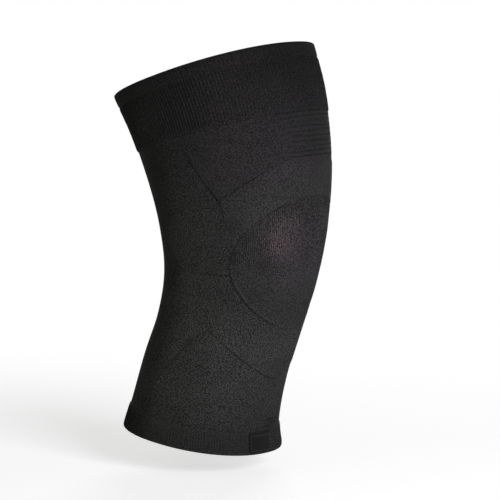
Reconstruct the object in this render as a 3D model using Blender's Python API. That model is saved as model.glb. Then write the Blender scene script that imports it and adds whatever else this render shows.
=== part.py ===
"""Knit compression knee sleeve, shaped as worn on a bent right knee.

Metres, +Z up. The knee axis lies along X through the origin, the kneecap faces -Y and the outer
side of the leg is -X. A place on the sleeve is given by the height of the ring it lies on and by
its angle from the front in degrees, positive towards the outer side.
"""

import math

import bmesh
import bpy

MM = 0.001

# Lengths along the leg from the knee axis, and the heights of the two turned cuffs.
THIGH_LENGTH = 152 * MM
CALF_LENGTH = 124 * MM
THIGH_CUFF_HEIGHT = 45 * MM
CALF_CUFF_HEIGHT = 17 * MM

# Front-to-back depth of the worn sleeve at its rim, the knee axis, the narrow of the calf and the hem.
RIM_DEPTH = 151 * MM
KNEE_DEPTH = 113 * MM
CALF_DEPTH = 107 * MM
HEM_DEPTH = 118 * MM

# How far the middle of the rim and of the hem lies behind the knee axis on the bent leg, and how
# far the front of each is tipped up, in degrees.
RIM_SETBACK = 24.5 * MM
HEM_SETBACK = 35.5 * MM
RIM_TIP = 18
HEM_TIP = -9

# Cross-section: side-to-side width for each unit of depth, and the power of its rounded square.
WIDTH_TO_DEPTH = 0.97
SQUARENESS = 2.2

# Cloth: plain knit, the firm bands that stand out from it, the thin stretch zones, the cuffs.
KNIT_WALL = 2.0 * MM
FIRM_LIFT = 0.4 * MM
THIN_WALL = 1.5 * MM
CUFF_LAYER = 1.5 * MM
CUFF_LIFT = 0.6 * MM
CUFF_FOLD = 3.5 * MM
SEAM_THREAD = 0.9 * MM
GAP = 0.3 * MM

# Oval kneecap panel: how far it runs up and down from the knee axis, its half width, and the power
# of its lower curve, which is straighter than that of an oval.
PATELLA_UP = 55 * MM
PATELLA_DOWN = 32 * MM
PATELLA_ANGLE = 66
PATELLA_POWER = 1.7

# Firm bands over and under the kneecap: their width at the front, where each leaves the oval, and
# how far its two points run on from there.
UPPER_ARCH_WIDTH = 24.5 * MM
UPPER_ARCH_END = 24 * MM
UPPER_ARCH_POINT = 33 * MM
LOWER_ARCH_WIDTH = 34.3 * MM
LOWER_ARCH_END = 10.7 * MM
LOWER_ARCH_POINT = 23.5 * MM

# Cross-ribbed panel that fills the front between the upper band and the cuff.
FLEX_TOP_ANGLE = 22
FLEX_LOW_ANGLE = 17
FLEX_PITCH = 3.2 * MM
FLEX_RIDGE = 1.0 * MM

# V-shaped front thigh panels: rear edge at the cuff, and at the point where the V ends.
QUAD_TOP_ANGLE = 92
QUAD_TIP_ANGLE = 72

# Front calf panel: half width at its two upper points and at the hem.
SHIN_TIP_ANGLE = 73
SHIN_LOW_ANGLE = 118

# Back panels, the point that the knee-hollow panel sends forward, and the split of the side bands.
BACK_ANGLE = 122
NOTCH_ANGLE = 106
NOTCH_REACH = 25 * MM
HOLLOW_UP = 62 * MM
HOLLOW_DOWN = 62 * MM
SIDE_SPLIT = 6 * MM

# Woven label on the front of the hem, and the thread frame that sews it on.
LABEL_WIDTH = 25.5 * MM
LABEL_HEIGHT = 13.5 * MM
LABEL_THICKNESS = 0.8 * MM
LABEL_ANGLE = 6
STITCH_INSET = 1.2 * MM
STITCH_WIDTH = 0.6 * MM

# Fineness of the faceted cloth.
CELL = 9.5 * MM
FINE = 5.5 * MM
AROUND = 40
CREASE = math.radians(40)
FULL_TURN = 360

BODY_GREY = (0.021, 0.021, 0.023, 1)
CUFF_BLACK = (0.013, 0.013, 0.013, 1)
KNEECAP_GREY = (0.034, 0.031, 0.032, 1)
THREAD_BLACK = (0.009, 0.009, 0.009, 1)
LABEL_BLACK = (0.006, 0.006, 0.006, 1)

# Places worked out from the sizes above.
THIGH_RUN = THIGH_LENGTH - THIGH_CUFF_HEIGHT
CALF_RUN = CALF_LENGTH - CALF_CUFF_HEIGHT
PATELLA_MIDDLE = (PATELLA_UP - PATELLA_DOWN) / 2
PATELLA_HALF = (PATELLA_UP + PATELLA_DOWN) / 2
FLEX_LOW = PATELLA_UP + UPPER_ARCH_WIDTH
QUAD_TIP = UPPER_ARCH_END + UPPER_ARCH_POINT
SHIN_TOP = -PATELLA_DOWN - LOWER_ARCH_WIDTH
LOWER_END = -LOWER_ARCH_END
SHIN_TIP = LOWER_END - LOWER_ARCH_POINT


def mix(a, b, t):
    return a + (b - a) * t


def ring(length, share, setback, depth, tip):
    """One ring of the form as (height, setback, half depth, tip in radians)."""
    return (length * share, setback, depth / 2, math.radians(tip))


def stations():
    """The form's rings from the hem to the rim, at shares of the calf and thigh lengths."""
    rings = []
    for share, back, flare, tip in ((1, 1, 1, HEM_TIP), (0.85, 0.93, 0.36, -9), (0.56, 0.65, 0, -11),
                                    (0.28, 0.28, 0, -7)):
        depth = mix(CALF_DEPTH, HEM_DEPTH, flare)
        rings.append(ring(-CALF_LENGTH, share, HEM_SETBACK * back, depth, tip))
    for share, back, flare, tip in ((0, 0, 0, -3), (0.26, -0.12, 0.29, 4), (0.53, 0.04, 0.605, 11),
                                    (0.79, 0.45, 0.84, 16.5), (1, 1, 1, RIM_TIP)):
        depth = mix(KNEE_DEPTH, RIM_DEPTH, flare)
        rings.append(ring(THIGH_LENGTH, share, RIM_SETBACK * back, depth, tip))
    return rings


RINGS = stations()


def slope(k, column):
    low = max(k - 1, 0)
    high = min(k + 1, len(RINGS) - 1)
    return (RINGS[high][column] - RINGS[low][column]) / (RINGS[high][0] - RINGS[low][0])


def form_at(height):
    """Setback, half depth and tip of the ring at a height, on a smooth curve through the rings."""
    k = 0
    while k < len(RINGS) - 2 and height > RINGS[k + 1][0]:
        k += 1
    span = RINGS[k + 1][0] - RINGS[k][0]
    t = (height - RINGS[k][0]) / span
    values = []
    for column in (1, 2, 3):
        start, end = RINGS[k][column], RINGS[k + 1][column]
        rise, fall = slope(k, column) * span, slope(k + 1, column) * span
        curve = start * (2 * t**3 - 3 * t**2 + 1) + end * (3 * t**2 - 2 * t**3)
        values.append(curve + rise * (t**3 - 2 * t**2 + t) + fall * (t**3 - t**2))
    return values


def place(height, angle, lift):
    """The point of the worn form at a height and angle, lifted off its outer face."""
    setback, depth, tip = form_at(height)
    width = depth * WIDTH_TO_DEPTH
    s, c = math.sin(math.radians(angle)), math.cos(math.radians(angle))
    reach = (abs(s) ** SQUARENESS + abs(c) ** SQUARENESS) ** (-1 / SQUARENESS)
    x, y = -reach * s * width, -reach * c * depth
    nx = math.copysign(abs(x / width) ** (SQUARENESS - 1), x) / width
    ny = math.copysign(abs(y / depth) ** (SQUARENESS - 1), y) / depth
    unit = math.hypot(nx, ny)
    x += nx / unit * lift
    y += ny / unit * lift
    return (x, setback + y * math.cos(tip), height - y * math.sin(tip))


def steps(low, high, size):
    """Evenly spaced values from low to high, about size apart."""
    count = max(2, round(abs(high - low) / size))
    return [mix(low, high, k / count) for k in range(count + 1)]


def through(stops, size):
    """Values that pass through every stop, about size apart in between."""
    values = [stops[0]]
    for low, high in zip(stops, stops[1:]):
        values += steps(low, high, size)[1:]
    return values


def degrees_of(length, height):
    """The angle that a length around the sleeve takes up at a height."""
    return math.degrees(length / form_at(height)[1])


def oval(out, side):
    """How far an oval of unit size reaches at a share of its other half, above or below its middle."""
    power = 2 if side > 0 else PATELLA_POWER
    return max(0.0, 1 - abs(out) ** power) ** (1 / power)


def patella_angle(height):
    """Angle of the kneecap panel's edge at a height."""
    out = (height - PATELLA_MIDDLE) / PATELLA_HALF
    return PATELLA_ANGLE * oval(out, out)


def patella_edge(angle, side):
    """Height of the kneecap panel's edge at an angle, above (1) or below (-1) its middle."""
    return PATELLA_MIDDLE + side * PATELLA_HALF * oval(angle / PATELLA_ANGLE, side)


def quad_rear(height):
    left = min(1.0, (THIGH_RUN - height) / (THIGH_RUN - QUAD_TIP))
    return mix(QUAD_TOP_ANGLE, QUAD_TIP_ANGLE, max(0.0, left) ** 1.5)


def quad_low(angle):
    t = max(0.0, (abs(angle) - FLEX_LOW_ANGLE) / (QUAD_TIP_ANGLE - FLEX_LOW_ANGLE))
    return mix(FLEX_LOW, QUAD_TIP, t**1.4)


def flex_angle(height):
    return mix(FLEX_LOW_ANGLE, FLEX_TOP_ANGLE, (height - FLEX_LOW) / (THIGH_RUN - FLEX_LOW))


def shin_top(angle):
    return mix(SHIN_TOP, SHIN_TIP, (abs(angle) / SHIN_TIP_ANGLE) ** 1.4)


def shin_side(height):
    t = (SHIN_TIP - height) / (CALF_RUN + SHIN_TIP)
    return mix(SHIN_TIP_ANGLE, SHIN_LOW_ANGLE, max(0.0, t) ** 0.72)


def back_edge(height):
    """Angle where the side bands meet the back panels, with the point at the knee axis."""
    near = max(0.0, 1 - abs(height - SIDE_SPLIT) / NOTCH_REACH)
    return BACK_ANGLE - (BACK_ANGLE - NOTCH_ANGLE) * near**1.2


def arch_end(angle, end, tip, tip_angle):
    """Height on the line that closes an arch, from the kneecap panel's edge to the arch's point."""
    start = patella_angle(end)
    return mix(end, tip, (abs(angle) - start) / (tip_angle - start))


def side_front(height):
    """Front edge of the upper side band."""
    if height <= UPPER_ARCH_END:
        return patella_angle(height)
    if height < QUAD_TIP:
        t = (height - UPPER_ARCH_END) / (QUAD_TIP - UPPER_ARCH_END)
        return mix(patella_angle(UPPER_ARCH_END), QUAD_TIP_ANGLE, t)
    return quad_rear(height)


def side_low_front(height):
    """Front edge of the lower side band."""
    if height >= LOWER_END:
        return patella_angle(height)
    if height > SHIN_TIP:
        t = (height - LOWER_END) / (SHIN_TIP - LOWER_END)
        return mix(patella_angle(LOWER_END), SHIN_TIP_ANGLE, t)
    return shin_side(height)


def pull_in(grid, spots, inner):
    """Moves for the edge points of a panel, half a gap towards their inner neighbours."""
    moves = []
    for k, (i, j) in enumerate(spots):
        radius = form_at(grid[i][j][0])[1]
        before = spots[max(k - 1, 0)]
        after = spots[min(k + 1, len(spots) - 1)]
        a, b = grid[before[0]][before[1]], grid[after[0]][after[1]]
        tx, ty = math.radians(b[1] - a[1]) * radius, b[0] - a[0]
        unit = math.hypot(tx, ty)
        nx, ny = -ty / unit, tx / unit
        h, angle = grid[i][j]
        inside = grid[inner[k][0]][inner[k][1]]
        facing = math.radians(inside[1] - angle) * radius * nx + (inside[0] - h) * ny
        turn = math.copysign(GAP / 2, facing)
        moves.append(((i, j), ny * turn, math.degrees(nx * turn / radius)))
    return moves


def inset(grid):
    """The panel's grid of (height, angle) with all four edges moved in by half a gap."""
    rows, cols = len(grid), len(grid[0])
    edges = []
    for i, near in ((0, 1), (rows - 1, rows - 2)):
        edges.append(([(i, j) for j in range(cols)], [(near, j) for j in range(cols)]))
    for j, near in ((0, 1), (cols - 1, cols - 2)):
        edges.append(([(i, j) for i in range(rows)], [(i, near) for i in range(rows)]))
    moved = [list(row) for row in grid]
    for spots, inner in edges:
        for (i, j), up, around in pull_in(grid, spots, inner):
            moved[i][j] = (moved[i][j][0] + up, moved[i][j][1] + around)
    return moved


def knit(name, colour, roughness):
    material = bpy.data.materials.new(name)
    material.use_nodes = True
    shader = material.node_tree.nodes["Principled BSDF"]
    shader.inputs["Base Color"].default_value = colour
    shader.inputs["Roughness"].default_value = roughness
    return material


def add_solid(name, work, material, moves):
    """A closed named object from a mesh in work; what moves with the calf hangs on the knee axis."""
    bmesh.ops.recalc_face_normals(work, faces=work.faces)
    if work.calc_volume(signed=True) < 0:
        bmesh.ops.reverse_faces(work, faces=work.faces)
    mesh = bpy.data.meshes.new(name)
    work.to_mesh(mesh)
    work.free()
    mesh.shade_smooth()
    mesh.set_sharp_from_angle(angle=CREASE)
    mesh.materials.append(material)
    solid = bpy.data.objects.new(name, mesh)
    bpy.context.scene.collection.objects.link(solid)
    if moves:
        solid.parent = bpy.data.objects["knee_axis"]


def wrap(work, spot_of, outer, inner):
    """Extrudes a flat sheet and lays both its faces on the worn form, each at its own lift."""
    made = bmesh.ops.extrude_face_region(work, geom=work.faces[:])["geom"]
    inside = {item for item in made if isinstance(item, bmesh.types.BMVert)}
    for vert in work.verts:
        height, angle = spot_of(vert.co.x, vert.co.y)
        lift = inner if vert in inside else outer(height)
        vert.co = place(height, angle, lift)


def panel(name, grid, outer, inner, material, moves, frame=False):
    """A cloth panel over a grid of (height, angle), or only the outermost cells of it as a frame."""
    rows, cols = len(grid), len(grid[0])

    def spot_of(x, y):
        return grid[round((y + 1) / 2 * (rows - 1))][round((x + 1) / 2 * (cols - 1))]

    work = bmesh.new()
    bmesh.ops.create_grid(work, x_segments=cols - 1, y_segments=rows - 1, size=1)
    if frame:
        inner_faces = [face for face in work.faces if not any(vert.is_boundary for vert in face.verts)]
        bmesh.ops.delete(work, geom=inner_faces, context="FACES")
    wrap(work, spot_of, outer, inner)
    add_solid(name, work, material, moves)


def level(lift):
    """A face that keeps one lift at every height."""
    return lambda height: lift


def band(name, profile, material, moves):
    """A ring around the leg: a profile of (height, lift) corners, spun and then fitted to the form."""
    section = []
    for (h, lift), (next_h, next_lift) in zip(profile, profile[1:] + profile[:1]):
        count = max(1, round(abs(next_h - h) / CELL))
        section += [(mix(h, next_h, k / count), mix(lift, next_lift, k / count)) for k in range(count)]
    work = bmesh.new()
    corners = [work.verts.new((1 + lift, 0, h)) for h, lift in section]
    edges = [work.edges.new(pair) for pair in zip(corners, corners[1:] + corners[:1])]
    bmesh.ops.spin(work, geom=corners + edges, cent=(0, 0, 0), axis=(0, 0, 1), angle=2 * math.pi,
                   steps=AROUND, use_merge=True)
    for vert in work.verts:
        x, y, height = vert.co
        vert.co = place(height, math.degrees(math.atan2(-x, -y)), math.hypot(x, y) - 1)
    add_solid(name, work, material, moves)


def rows_between(heights, left, right):
    """A grid of level rows whose ends follow two edges given as angles by height."""
    widest = max(abs(right(h) - left(h)) for h in heights)
    cells = max(3, round(math.radians(widest) * form_at(heights[0])[1] / CELL))
    return [[(h, mix(left(h), right(h), j / cells)) for j in range(cells + 1)] for h in heights]


def columns_between(angles, low, high, cells):
    """A grid whose columns run between two edges given as heights by angle."""
    return [[(mix(low(a), high(a), i / cells), a) for a in angles] for i in range(cells + 1)]


def turned_cuff(name, edge, end, material, moves):
    """A turned welt: outer layer with the fold at its free end, facing inside, linking thread."""
    out = math.copysign(1, end - edge)
    skin, core = CUFF_LIFT, CUFF_LIFT - CUFF_LAYER
    lining = core - GAP
    inside = lining - CUFF_LAYER
    start, fold = edge + out * GAP / 2, end - out * CUFF_FOLD
    outer = [(start, skin), (end, skin), (end, inside), (fold, inside), (fold, core), (start, core)]
    band(name, outer, material["cuff"], moves)
    low, high = edge + out * GAP, fold - out * GAP
    facing = [(low, lining), (high, lining), (high, inside), (low, inside)]
    band(name + "_facing", facing, material["cuff"], moves)
    half = SEAM_THREAD / 2
    centre = (edge - out * (half + GAP), -KNIT_WALL - GAP - half)
    ring = []
    for k in range(6):
        ring.append((centre[0] + half * math.cos(k * math.pi / 3),
                     centre[1] + half * math.sin(k * math.pi / 3)))
    band(name + "_seam", ring, material["thread"], moves)


def flex_panel(material):
    ridges = max(1, round((THIGH_RUN - FLEX_LOW) / FLEX_PITCH))
    pitch = (THIGH_RUN - FLEX_LOW) / ridges

    def ridge(height):
        return FLEX_RIDGE * (0.5 - 0.5 * math.cos(2 * math.pi * (height - FLEX_LOW) / pitch))

    heights = steps(FLEX_LOW, THIGH_RUN, pitch / 4)
    grid = rows_between(heights, lambda h: -flex_angle(h), flex_angle)
    panel("front_flex_ribs", inset(grid), ridge, -KNIT_WALL, material["body"], False)


def quad_panel(side, name, material):
    """Four-edged patch: kneecap band below, cuff above, cross ribs in front, side band behind."""
    across, up = 10, 6
    grid = []
    for i in range(up + 1):
        v = i / up
        row = []
        for j in range(across + 1):
            u = j / across
            low_a = mix(FLEX_LOW_ANGLE, QUAD_TIP_ANGLE, u)
            high_a = mix(FLEX_TOP_ANGLE, QUAD_TOP_ANGLE, u)
            front_h, rear_h = mix(FLEX_LOW, THIGH_RUN, v), mix(QUAD_TIP, THIGH_RUN, v)
            flat_a = mix(mix(FLEX_LOW_ANGLE, FLEX_TOP_ANGLE, v), mix(QUAD_TIP_ANGLE, QUAD_TOP_ANGLE, v), u)
            flat_h = mix(mix(FLEX_LOW, THIGH_RUN, v), mix(QUAD_TIP, THIGH_RUN, v), u)
            angle = mix(low_a, high_a, v) + mix(flex_angle(front_h), quad_rear(rear_h), u) - flat_a
            height = mix(quad_low(low_a), THIGH_RUN, v) + mix(front_h, rear_h, u) - flat_h
            row.append((height, side * angle))
        grid.append(row)
    panel(name, inset(grid), level(0), -KNIT_WALL, material["body"], False)


def side_panels(side, label, material):
    """The firm band down one side of the knee, split at the knee axis."""
    heights = through((SIDE_SPLIT, UPPER_ARCH_END, QUAD_TIP, THIGH_RUN), FINE)
    upper = rows_between(heights, side_front, back_edge)
    heights = through((-CALF_RUN, SHIN_TIP, LOWER_END, SIDE_SPLIT), FINE)
    lower = rows_between(heights, side_low_front, back_edge)
    for name, grid, moves in (("upper_side_panel_", upper, False), ("lower_side_panel_", lower, True)):
        turned = [[(h, side * a) for h, a in row] for row in grid]
        panel(name + label, inset(turned), level(FIRM_LIFT), -KNIT_WALL, material["firm"], moves)


def arches(material):
    """The firm bands over and under the kneecap."""
    def upper_low(a):
        if abs(a) <= patella_angle(UPPER_ARCH_END):
            return patella_edge(a, 1)
        return arch_end(a, UPPER_ARCH_END, QUAD_TIP, QUAD_TIP_ANGLE)

    def lower_high(a):
        if abs(a) <= patella_angle(LOWER_END):
            return patella_edge(a, -1)
        return arch_end(a, LOWER_END, SHIN_TIP, SHIN_TIP_ANGLE)

    blunt = 1
    fine = degrees_of(FINE, PATELLA_MIDDLE)
    stops = (FLEX_LOW_ANGLE, patella_angle(UPPER_ARCH_END), QUAD_TIP_ANGLE - blunt / 2)
    angles = through([-a for a in stops[::-1]] + list(stops), fine / 2)
    grid = columns_between(angles, upper_low, quad_low, 4)
    panel("upper_arch", inset(grid), level(FIRM_LIFT), -KNIT_WALL, material["firm"], False)
    stops = (0, patella_angle(LOWER_END), SHIN_TIP_ANGLE - blunt)
    angles = through([-a for a in stops[:0:-1]] + list(stops), fine)
    grid = columns_between(angles, shin_top, lower_high, 5)
    panel("lower_arch", inset(grid), level(FIRM_LIFT), -KNIT_WALL, material["firm"], True)


def patella_panel(material):
    """Thin oval over the kneecap, spun as a disc about its middle."""
    around, rings = 48, 4
    shrink = 1 - GAP / 2 / PATELLA_HALF

    def spot_of(x, y):
        fit = shrink
        if y < 0:
            part = abs(x) ** PATELLA_POWER + abs(y) ** PATELLA_POWER
            fit *= math.hypot(x, y) / part ** (1 / PATELLA_POWER)
        return PATELLA_MIDDLE + y * fit * PATELLA_HALF, x * fit * PATELLA_ANGLE

    work = bmesh.new()
    spoke = [work.verts.new((k / rings, 0, 0)) for k in range(rings + 1)]
    edges = [work.edges.new(pair) for pair in zip(spoke, spoke[1:])]
    bmesh.ops.spin(work, geom=spoke + edges, cent=(0, 0, 0), axis=(0, 0, 1), angle=2 * math.pi,
                   steps=around, use_merge=True)
    bmesh.ops.remove_doubles(work, verts=work.verts, dist=GAP / 10)
    wrap(work, spot_of, level(0), -THIN_WALL)
    add_solid("patella_panel", work, material["kneecap"], False)


def back_panels(material):
    def far_edge(height):
        return FULL_TURN - back_edge(height)

    parts = (
        ("hamstring_panel", HOLLOW_UP, THIGH_RUN, KNIT_WALL, "body", False),
        ("popliteal_panel", -HOLLOW_DOWN, HOLLOW_UP, THIN_WALL, "body", False),
        ("calf_back_panel", -CALF_RUN, -HOLLOW_DOWN, KNIT_WALL, "body", True),
    )
    for name, low, high, wall, cloth, moves in parts:
        heights = steps(low, high, CELL)
        if name == "popliteal_panel":
            heights = through((low, SIDE_SPLIT, high), FINE)
        grid = rows_between(heights, back_edge, far_edge)
        panel(name, inset(grid), level(0), -wall, material[cloth], moves)


def shin_panel(material):
    across, down = 28, 6
    grid = []
    for i in range(down + 1):
        v = i / down
        reach = shin_side(mix(SHIN_TIP, -CALF_RUN, v))
        row = []
        for j in range(across + 1):
            u = 2 * j / across - 1
            row.append((mix(shin_top(u * SHIN_TIP_ANGLE), -CALF_RUN, v), u * reach))
        grid.append(row)
    panel("shin_panel", inset(grid), level(0), -KNIT_WALL, material["body"], True)


def label_pieces(material):
    """Woven patch on the hem, and the closed frame of thread near its edges."""
    middle = -CALF_LENGTH + CALF_CUFF_HEIGHT / 2
    bottom = CUFF_LIFT + GAP
    top = bottom + LABEL_THICKNESS

    def patch(width, height, border=0):
        half = degrees_of(width, middle) / 2
        rim = degrees_of(border, middle)
        edges = (LABEL_ANGLE - half, LABEL_ANGLE + half)
        low, high = middle - height / 2, middle + height / 2
        angles = steps(edges[0] + rim, edges[1] - rim, degrees_of(FINE, middle))
        heights = steps(low + border, high - border, FINE)
        if border:
            angles = [edges[0], *angles, edges[1]]
            heights = [low, *heights, high]
        return [[(h, a) for a in angles] for h in heights]

    panel("label", patch(LABEL_WIDTH, LABEL_HEIGHT), level(top), bottom, material["label"], True)
    frame = patch(LABEL_WIDTH - 2 * STITCH_INSET, LABEL_HEIGHT - 2 * STITCH_INSET, STITCH_WIDTH)
    panel("label_stitching", frame, level(top + GAP + STITCH_WIDTH), top + GAP, material["thread"],
          True, frame=True)


def clear_scene():
    for item in list(bpy.data.objects):
        bpy.data.objects.remove(item, do_unlink=True)


def main():
    clear_scene()
    axis = bpy.data.objects.new("knee_axis", None)
    bpy.context.scene.collection.objects.link(axis)
    material = {
        "body": knit("body_knit", BODY_GREY, 0.85),
        "firm": knit("firm_knit", BODY_GREY, 0.8),
        "cuff": knit("cuff_knit", CUFF_BLACK, 0.9),
        "kneecap": knit("kneecap_knit", KNEECAP_GREY, 0.8),
        "thread": knit("thread", THREAD_BLACK, 0.7),
        "label": knit("label_weave", LABEL_BLACK, 0.6),
    }
    turned_cuff("thigh_cuff", THIGH_RUN, THIGH_LENGTH, material, False)
    flex_panel(material)
    for side, name in ((1, "lateral"), (-1, "medial")):
        quad_panel(side, "quad_panel_" + name, material)
        side_panels(side, name, material)
    arches(material)
    patella_panel(material)
    back_panels(material)
    shin_panel(material)
    turned_cuff("calf_cuff", -CALF_RUN, -CALF_LENGTH, material, True)
    label_pieces(material)


main()
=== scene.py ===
# %% [markdown]
# # A knit knee brace
# This lesson dresses a knit compression brace for the right knee. The solids that it starts from
# hold the sizes, the zones and the bend of the knee, and nothing here moves them. Every zone of the
# knit is a separate panel, as it is on the solids, and each panel is made again here as cloth: ribs,
# ridges, rolled borders, stitches and threads.

# %% Load the solids that everything is fitted to
import math

import bpy
import numpy as np
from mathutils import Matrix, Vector, noise
from mathutils.kdtree import KDTree


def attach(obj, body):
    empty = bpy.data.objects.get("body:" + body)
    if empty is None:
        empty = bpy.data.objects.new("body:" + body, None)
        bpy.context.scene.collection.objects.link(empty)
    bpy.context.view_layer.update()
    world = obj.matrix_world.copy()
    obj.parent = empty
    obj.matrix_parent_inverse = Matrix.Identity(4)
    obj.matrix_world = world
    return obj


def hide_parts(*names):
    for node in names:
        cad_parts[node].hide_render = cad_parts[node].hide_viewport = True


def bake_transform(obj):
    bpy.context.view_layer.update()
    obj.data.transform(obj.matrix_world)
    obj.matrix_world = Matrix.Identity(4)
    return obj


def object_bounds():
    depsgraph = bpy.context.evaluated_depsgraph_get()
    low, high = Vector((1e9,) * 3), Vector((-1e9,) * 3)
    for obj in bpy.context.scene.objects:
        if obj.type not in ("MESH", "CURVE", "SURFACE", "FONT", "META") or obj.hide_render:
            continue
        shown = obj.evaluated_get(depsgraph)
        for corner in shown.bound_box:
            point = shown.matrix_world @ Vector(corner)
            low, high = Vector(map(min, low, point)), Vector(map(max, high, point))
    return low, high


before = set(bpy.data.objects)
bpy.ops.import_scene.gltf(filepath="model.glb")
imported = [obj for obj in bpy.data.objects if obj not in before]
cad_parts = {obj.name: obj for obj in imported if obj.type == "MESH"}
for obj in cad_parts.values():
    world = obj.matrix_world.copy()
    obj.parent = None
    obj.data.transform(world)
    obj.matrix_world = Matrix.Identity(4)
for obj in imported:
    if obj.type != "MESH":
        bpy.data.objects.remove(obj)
CAD_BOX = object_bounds()
MM = 0.001
print("solids:", len(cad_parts), "box in mm:", [round(x / MM) for x in CAD_BOX[1] - CAD_BOX[0]])

# %% [markdown]
# ## Camera
# The brace is seen from its outer front corner, a little from above. The camera is aimed at the knee
# from 2.4 m away through a long lens, so perspective hardly changes the outline. The picture is square,
# and a shift of the lens puts the knee at its place in it.

# %% Place the camera on a sphere around the knee axis
CAMERA_AZIMUTH = math.radians(-55)
CAMERA_ELEVATION = math.radians(6)
CAMERA_DISTANCE = 2.4
SENSOR_WIDTH = 36
PICTURE_SIDE = 500
PIXEL = 0.75 * MM
KNEE_IN_PICTURE = (240.85, 274.5)

to_camera = Vector((
    math.sin(CAMERA_AZIMUTH) * math.cos(CAMERA_ELEVATION),
    -math.cos(CAMERA_AZIMUTH) * math.cos(CAMERA_ELEVATION),
    math.sin(CAMERA_ELEVATION),
))
camera_right = Vector((math.cos(CAMERA_AZIMUTH), math.sin(CAMERA_AZIMUTH), 0))
camera_up = to_camera.cross(camera_right)

bpy.ops.object.camera_add(location=to_camera * CAMERA_DISTANCE)
camera = bpy.context.active_object
camera.rotation_euler = (-to_camera).to_track_quat("-Z", "Y").to_euler()
camera.data.sensor_width = SENSOR_WIDTH
camera.data.lens = SENSOR_WIDTH * CAMERA_DISTANCE / (PICTURE_SIDE * PIXEL)
camera.data.shift_x = (PICTURE_SIDE / 2 - KNEE_IN_PICTURE[0]) / PICTURE_SIDE
camera.data.shift_y = (KNEE_IN_PICTURE[1] - PICTURE_SIDE / 2) / PICTURE_SIDE
bpy.context.scene.camera = camera
print("lens in mm:", round(camera.data.lens, 1))

# %% [markdown]
# ## Studio
# Black cloth shows its form only by soft light from one side. A large softbox stands to the right
# of the camera, a weak one fills the left, a small one grazes the right edge, one stands behind for the
# back of the knee, and a faint even light comes from all round. The floor is pale and takes the shadow,
# and it lies low enough for the hem to clear it when the knee is straight. Near the brace it glows a
# little, and further off it turns plain white, but only for rays that look at it, so that neither adds
# light to the cloth.


# %% Softboxes aimed at the knee
def softbox(name, sideways, upwards, forwards, size, watts, colour=(1, 1, 1)):
    """A square lamp at a place given along the camera's own directions, aimed at the knee."""
    place_at = camera_right * sideways + camera_up * upwards + to_camera * forwards
    bpy.ops.object.light_add(type="AREA", location=place_at)
    lamp = bpy.context.active_object
    lamp.name = name
    lamp.rotation_euler = place_at.to_track_quat("Z", "Y").to_euler()
    lamp.data.size = size
    lamp.data.energy = watts
    lamp.data.color = colour
    print(f"{name}: {watts} W at {place_at.length:.1f} m")


softbox("key_softbox", 0.95, 0.4, 1.85, 1.0, 41, (1, 1, 1.05))
softbox("fill_softbox", -1.6, 0.3, 1.2, 1.0, 2.6, (1, 0.86, 0.5))
softbox("edge_softbox", 1.5, -0.2, -0.7, 0.6, 1)
softbox("back_softbox", 0.3, 0.7, -2.0, 1.0, 18)


# %% Helpers that add and join shader nodes
def fill(tree, node, inputs):
    """Gives inputs of a node, by name or number, a plain value or the output of another node."""
    for socket, value in inputs.items():
        if isinstance(value, bpy.types.NodeSocket):
            tree.links.new(value, node.inputs[socket])
        else:
            node.inputs[socket].default_value = value


def add_node(tree, kind, inputs, **options):
    """Adds a shader node with its options set and its inputs filled."""
    node = tree.nodes.new("ShaderNode" + kind)
    for option, value in options.items():
        setattr(node, option, value)
    fill(tree, node, inputs)
    return node


def calculate(tree, operation, *values):
    """The output of a Math node whose inputs are numbers or other nodes' outputs."""
    return add_node(tree, "Math", dict(enumerate(values)), operation=operation).outputs[0]


def choose(tree, share, first, second):
    """The output of a Mix Shader node that shows the second shader by a share."""
    inputs = {"Fac": share, 1: first.outputs[0], 2: second.outputs[0]}
    return add_node(tree, "MixShader", inputs).outputs[0]


def seen_directly(tree):
    """A number that is 1 for rays that look at a surface and 0 for rays that only carry light."""
    paths = add_node(tree, "LightPath", {})
    seen = paths.outputs["Is Camera Ray"]
    for kind in ("Is Glossy Ray", "Is Transmission Ray"):
        seen = calculate(tree, "MAXIMUM", seen, paths.outputs[kind])
    return seen


# %% The world
WORLD_LIGHT = 0.07
WHITE = (1, 1, 1, 1)

world = bpy.data.worlds.new("studio")
bpy.context.scene.world = world
world.use_nodes = True
tree = world.node_tree
ambient = tree.nodes["Background"]
fill(tree, ambient, {"Strength": WORLD_LIGHT, "Color": WHITE})
backdrop = add_node(tree, "Background", {"Color": WHITE})
fill(tree, tree.nodes["World Output"], {"Surface": choose(tree, seen_directly(tree), ambient, backdrop)})
bpy.context.scene.view_settings.view_transform = "Standard"
print("world light:", WORLD_LIGHT)

# %% The floor and its paint
FLOOR_SIZE, FLOOR_BELOW = 80, 14 * MM
FLOOR_GREY = 0.8
FLOOR_GLOW = 0.55
WHITE_FROM, WHITE_BY = 0.2, 0.8


def new_finish(name):
    """A new material, its node tree and its main shader."""
    finish = bpy.data.materials.new(name)
    finish.use_nodes = True
    return finish, finish.node_tree, finish.node_tree.nodes["Principled BSDF"]


bpy.ops.object.select_all(action="DESELECT")
bpy.ops.mesh.primitive_plane_add(size=FLOOR_SIZE, location=(0, 0, CAD_BOX[0].z - FLOOR_BELOW))
floor = bpy.context.active_object
floor.name = "studio_floor"
bpy.ops.object.transform_apply(location=True, rotation=False, scale=False)

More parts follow.
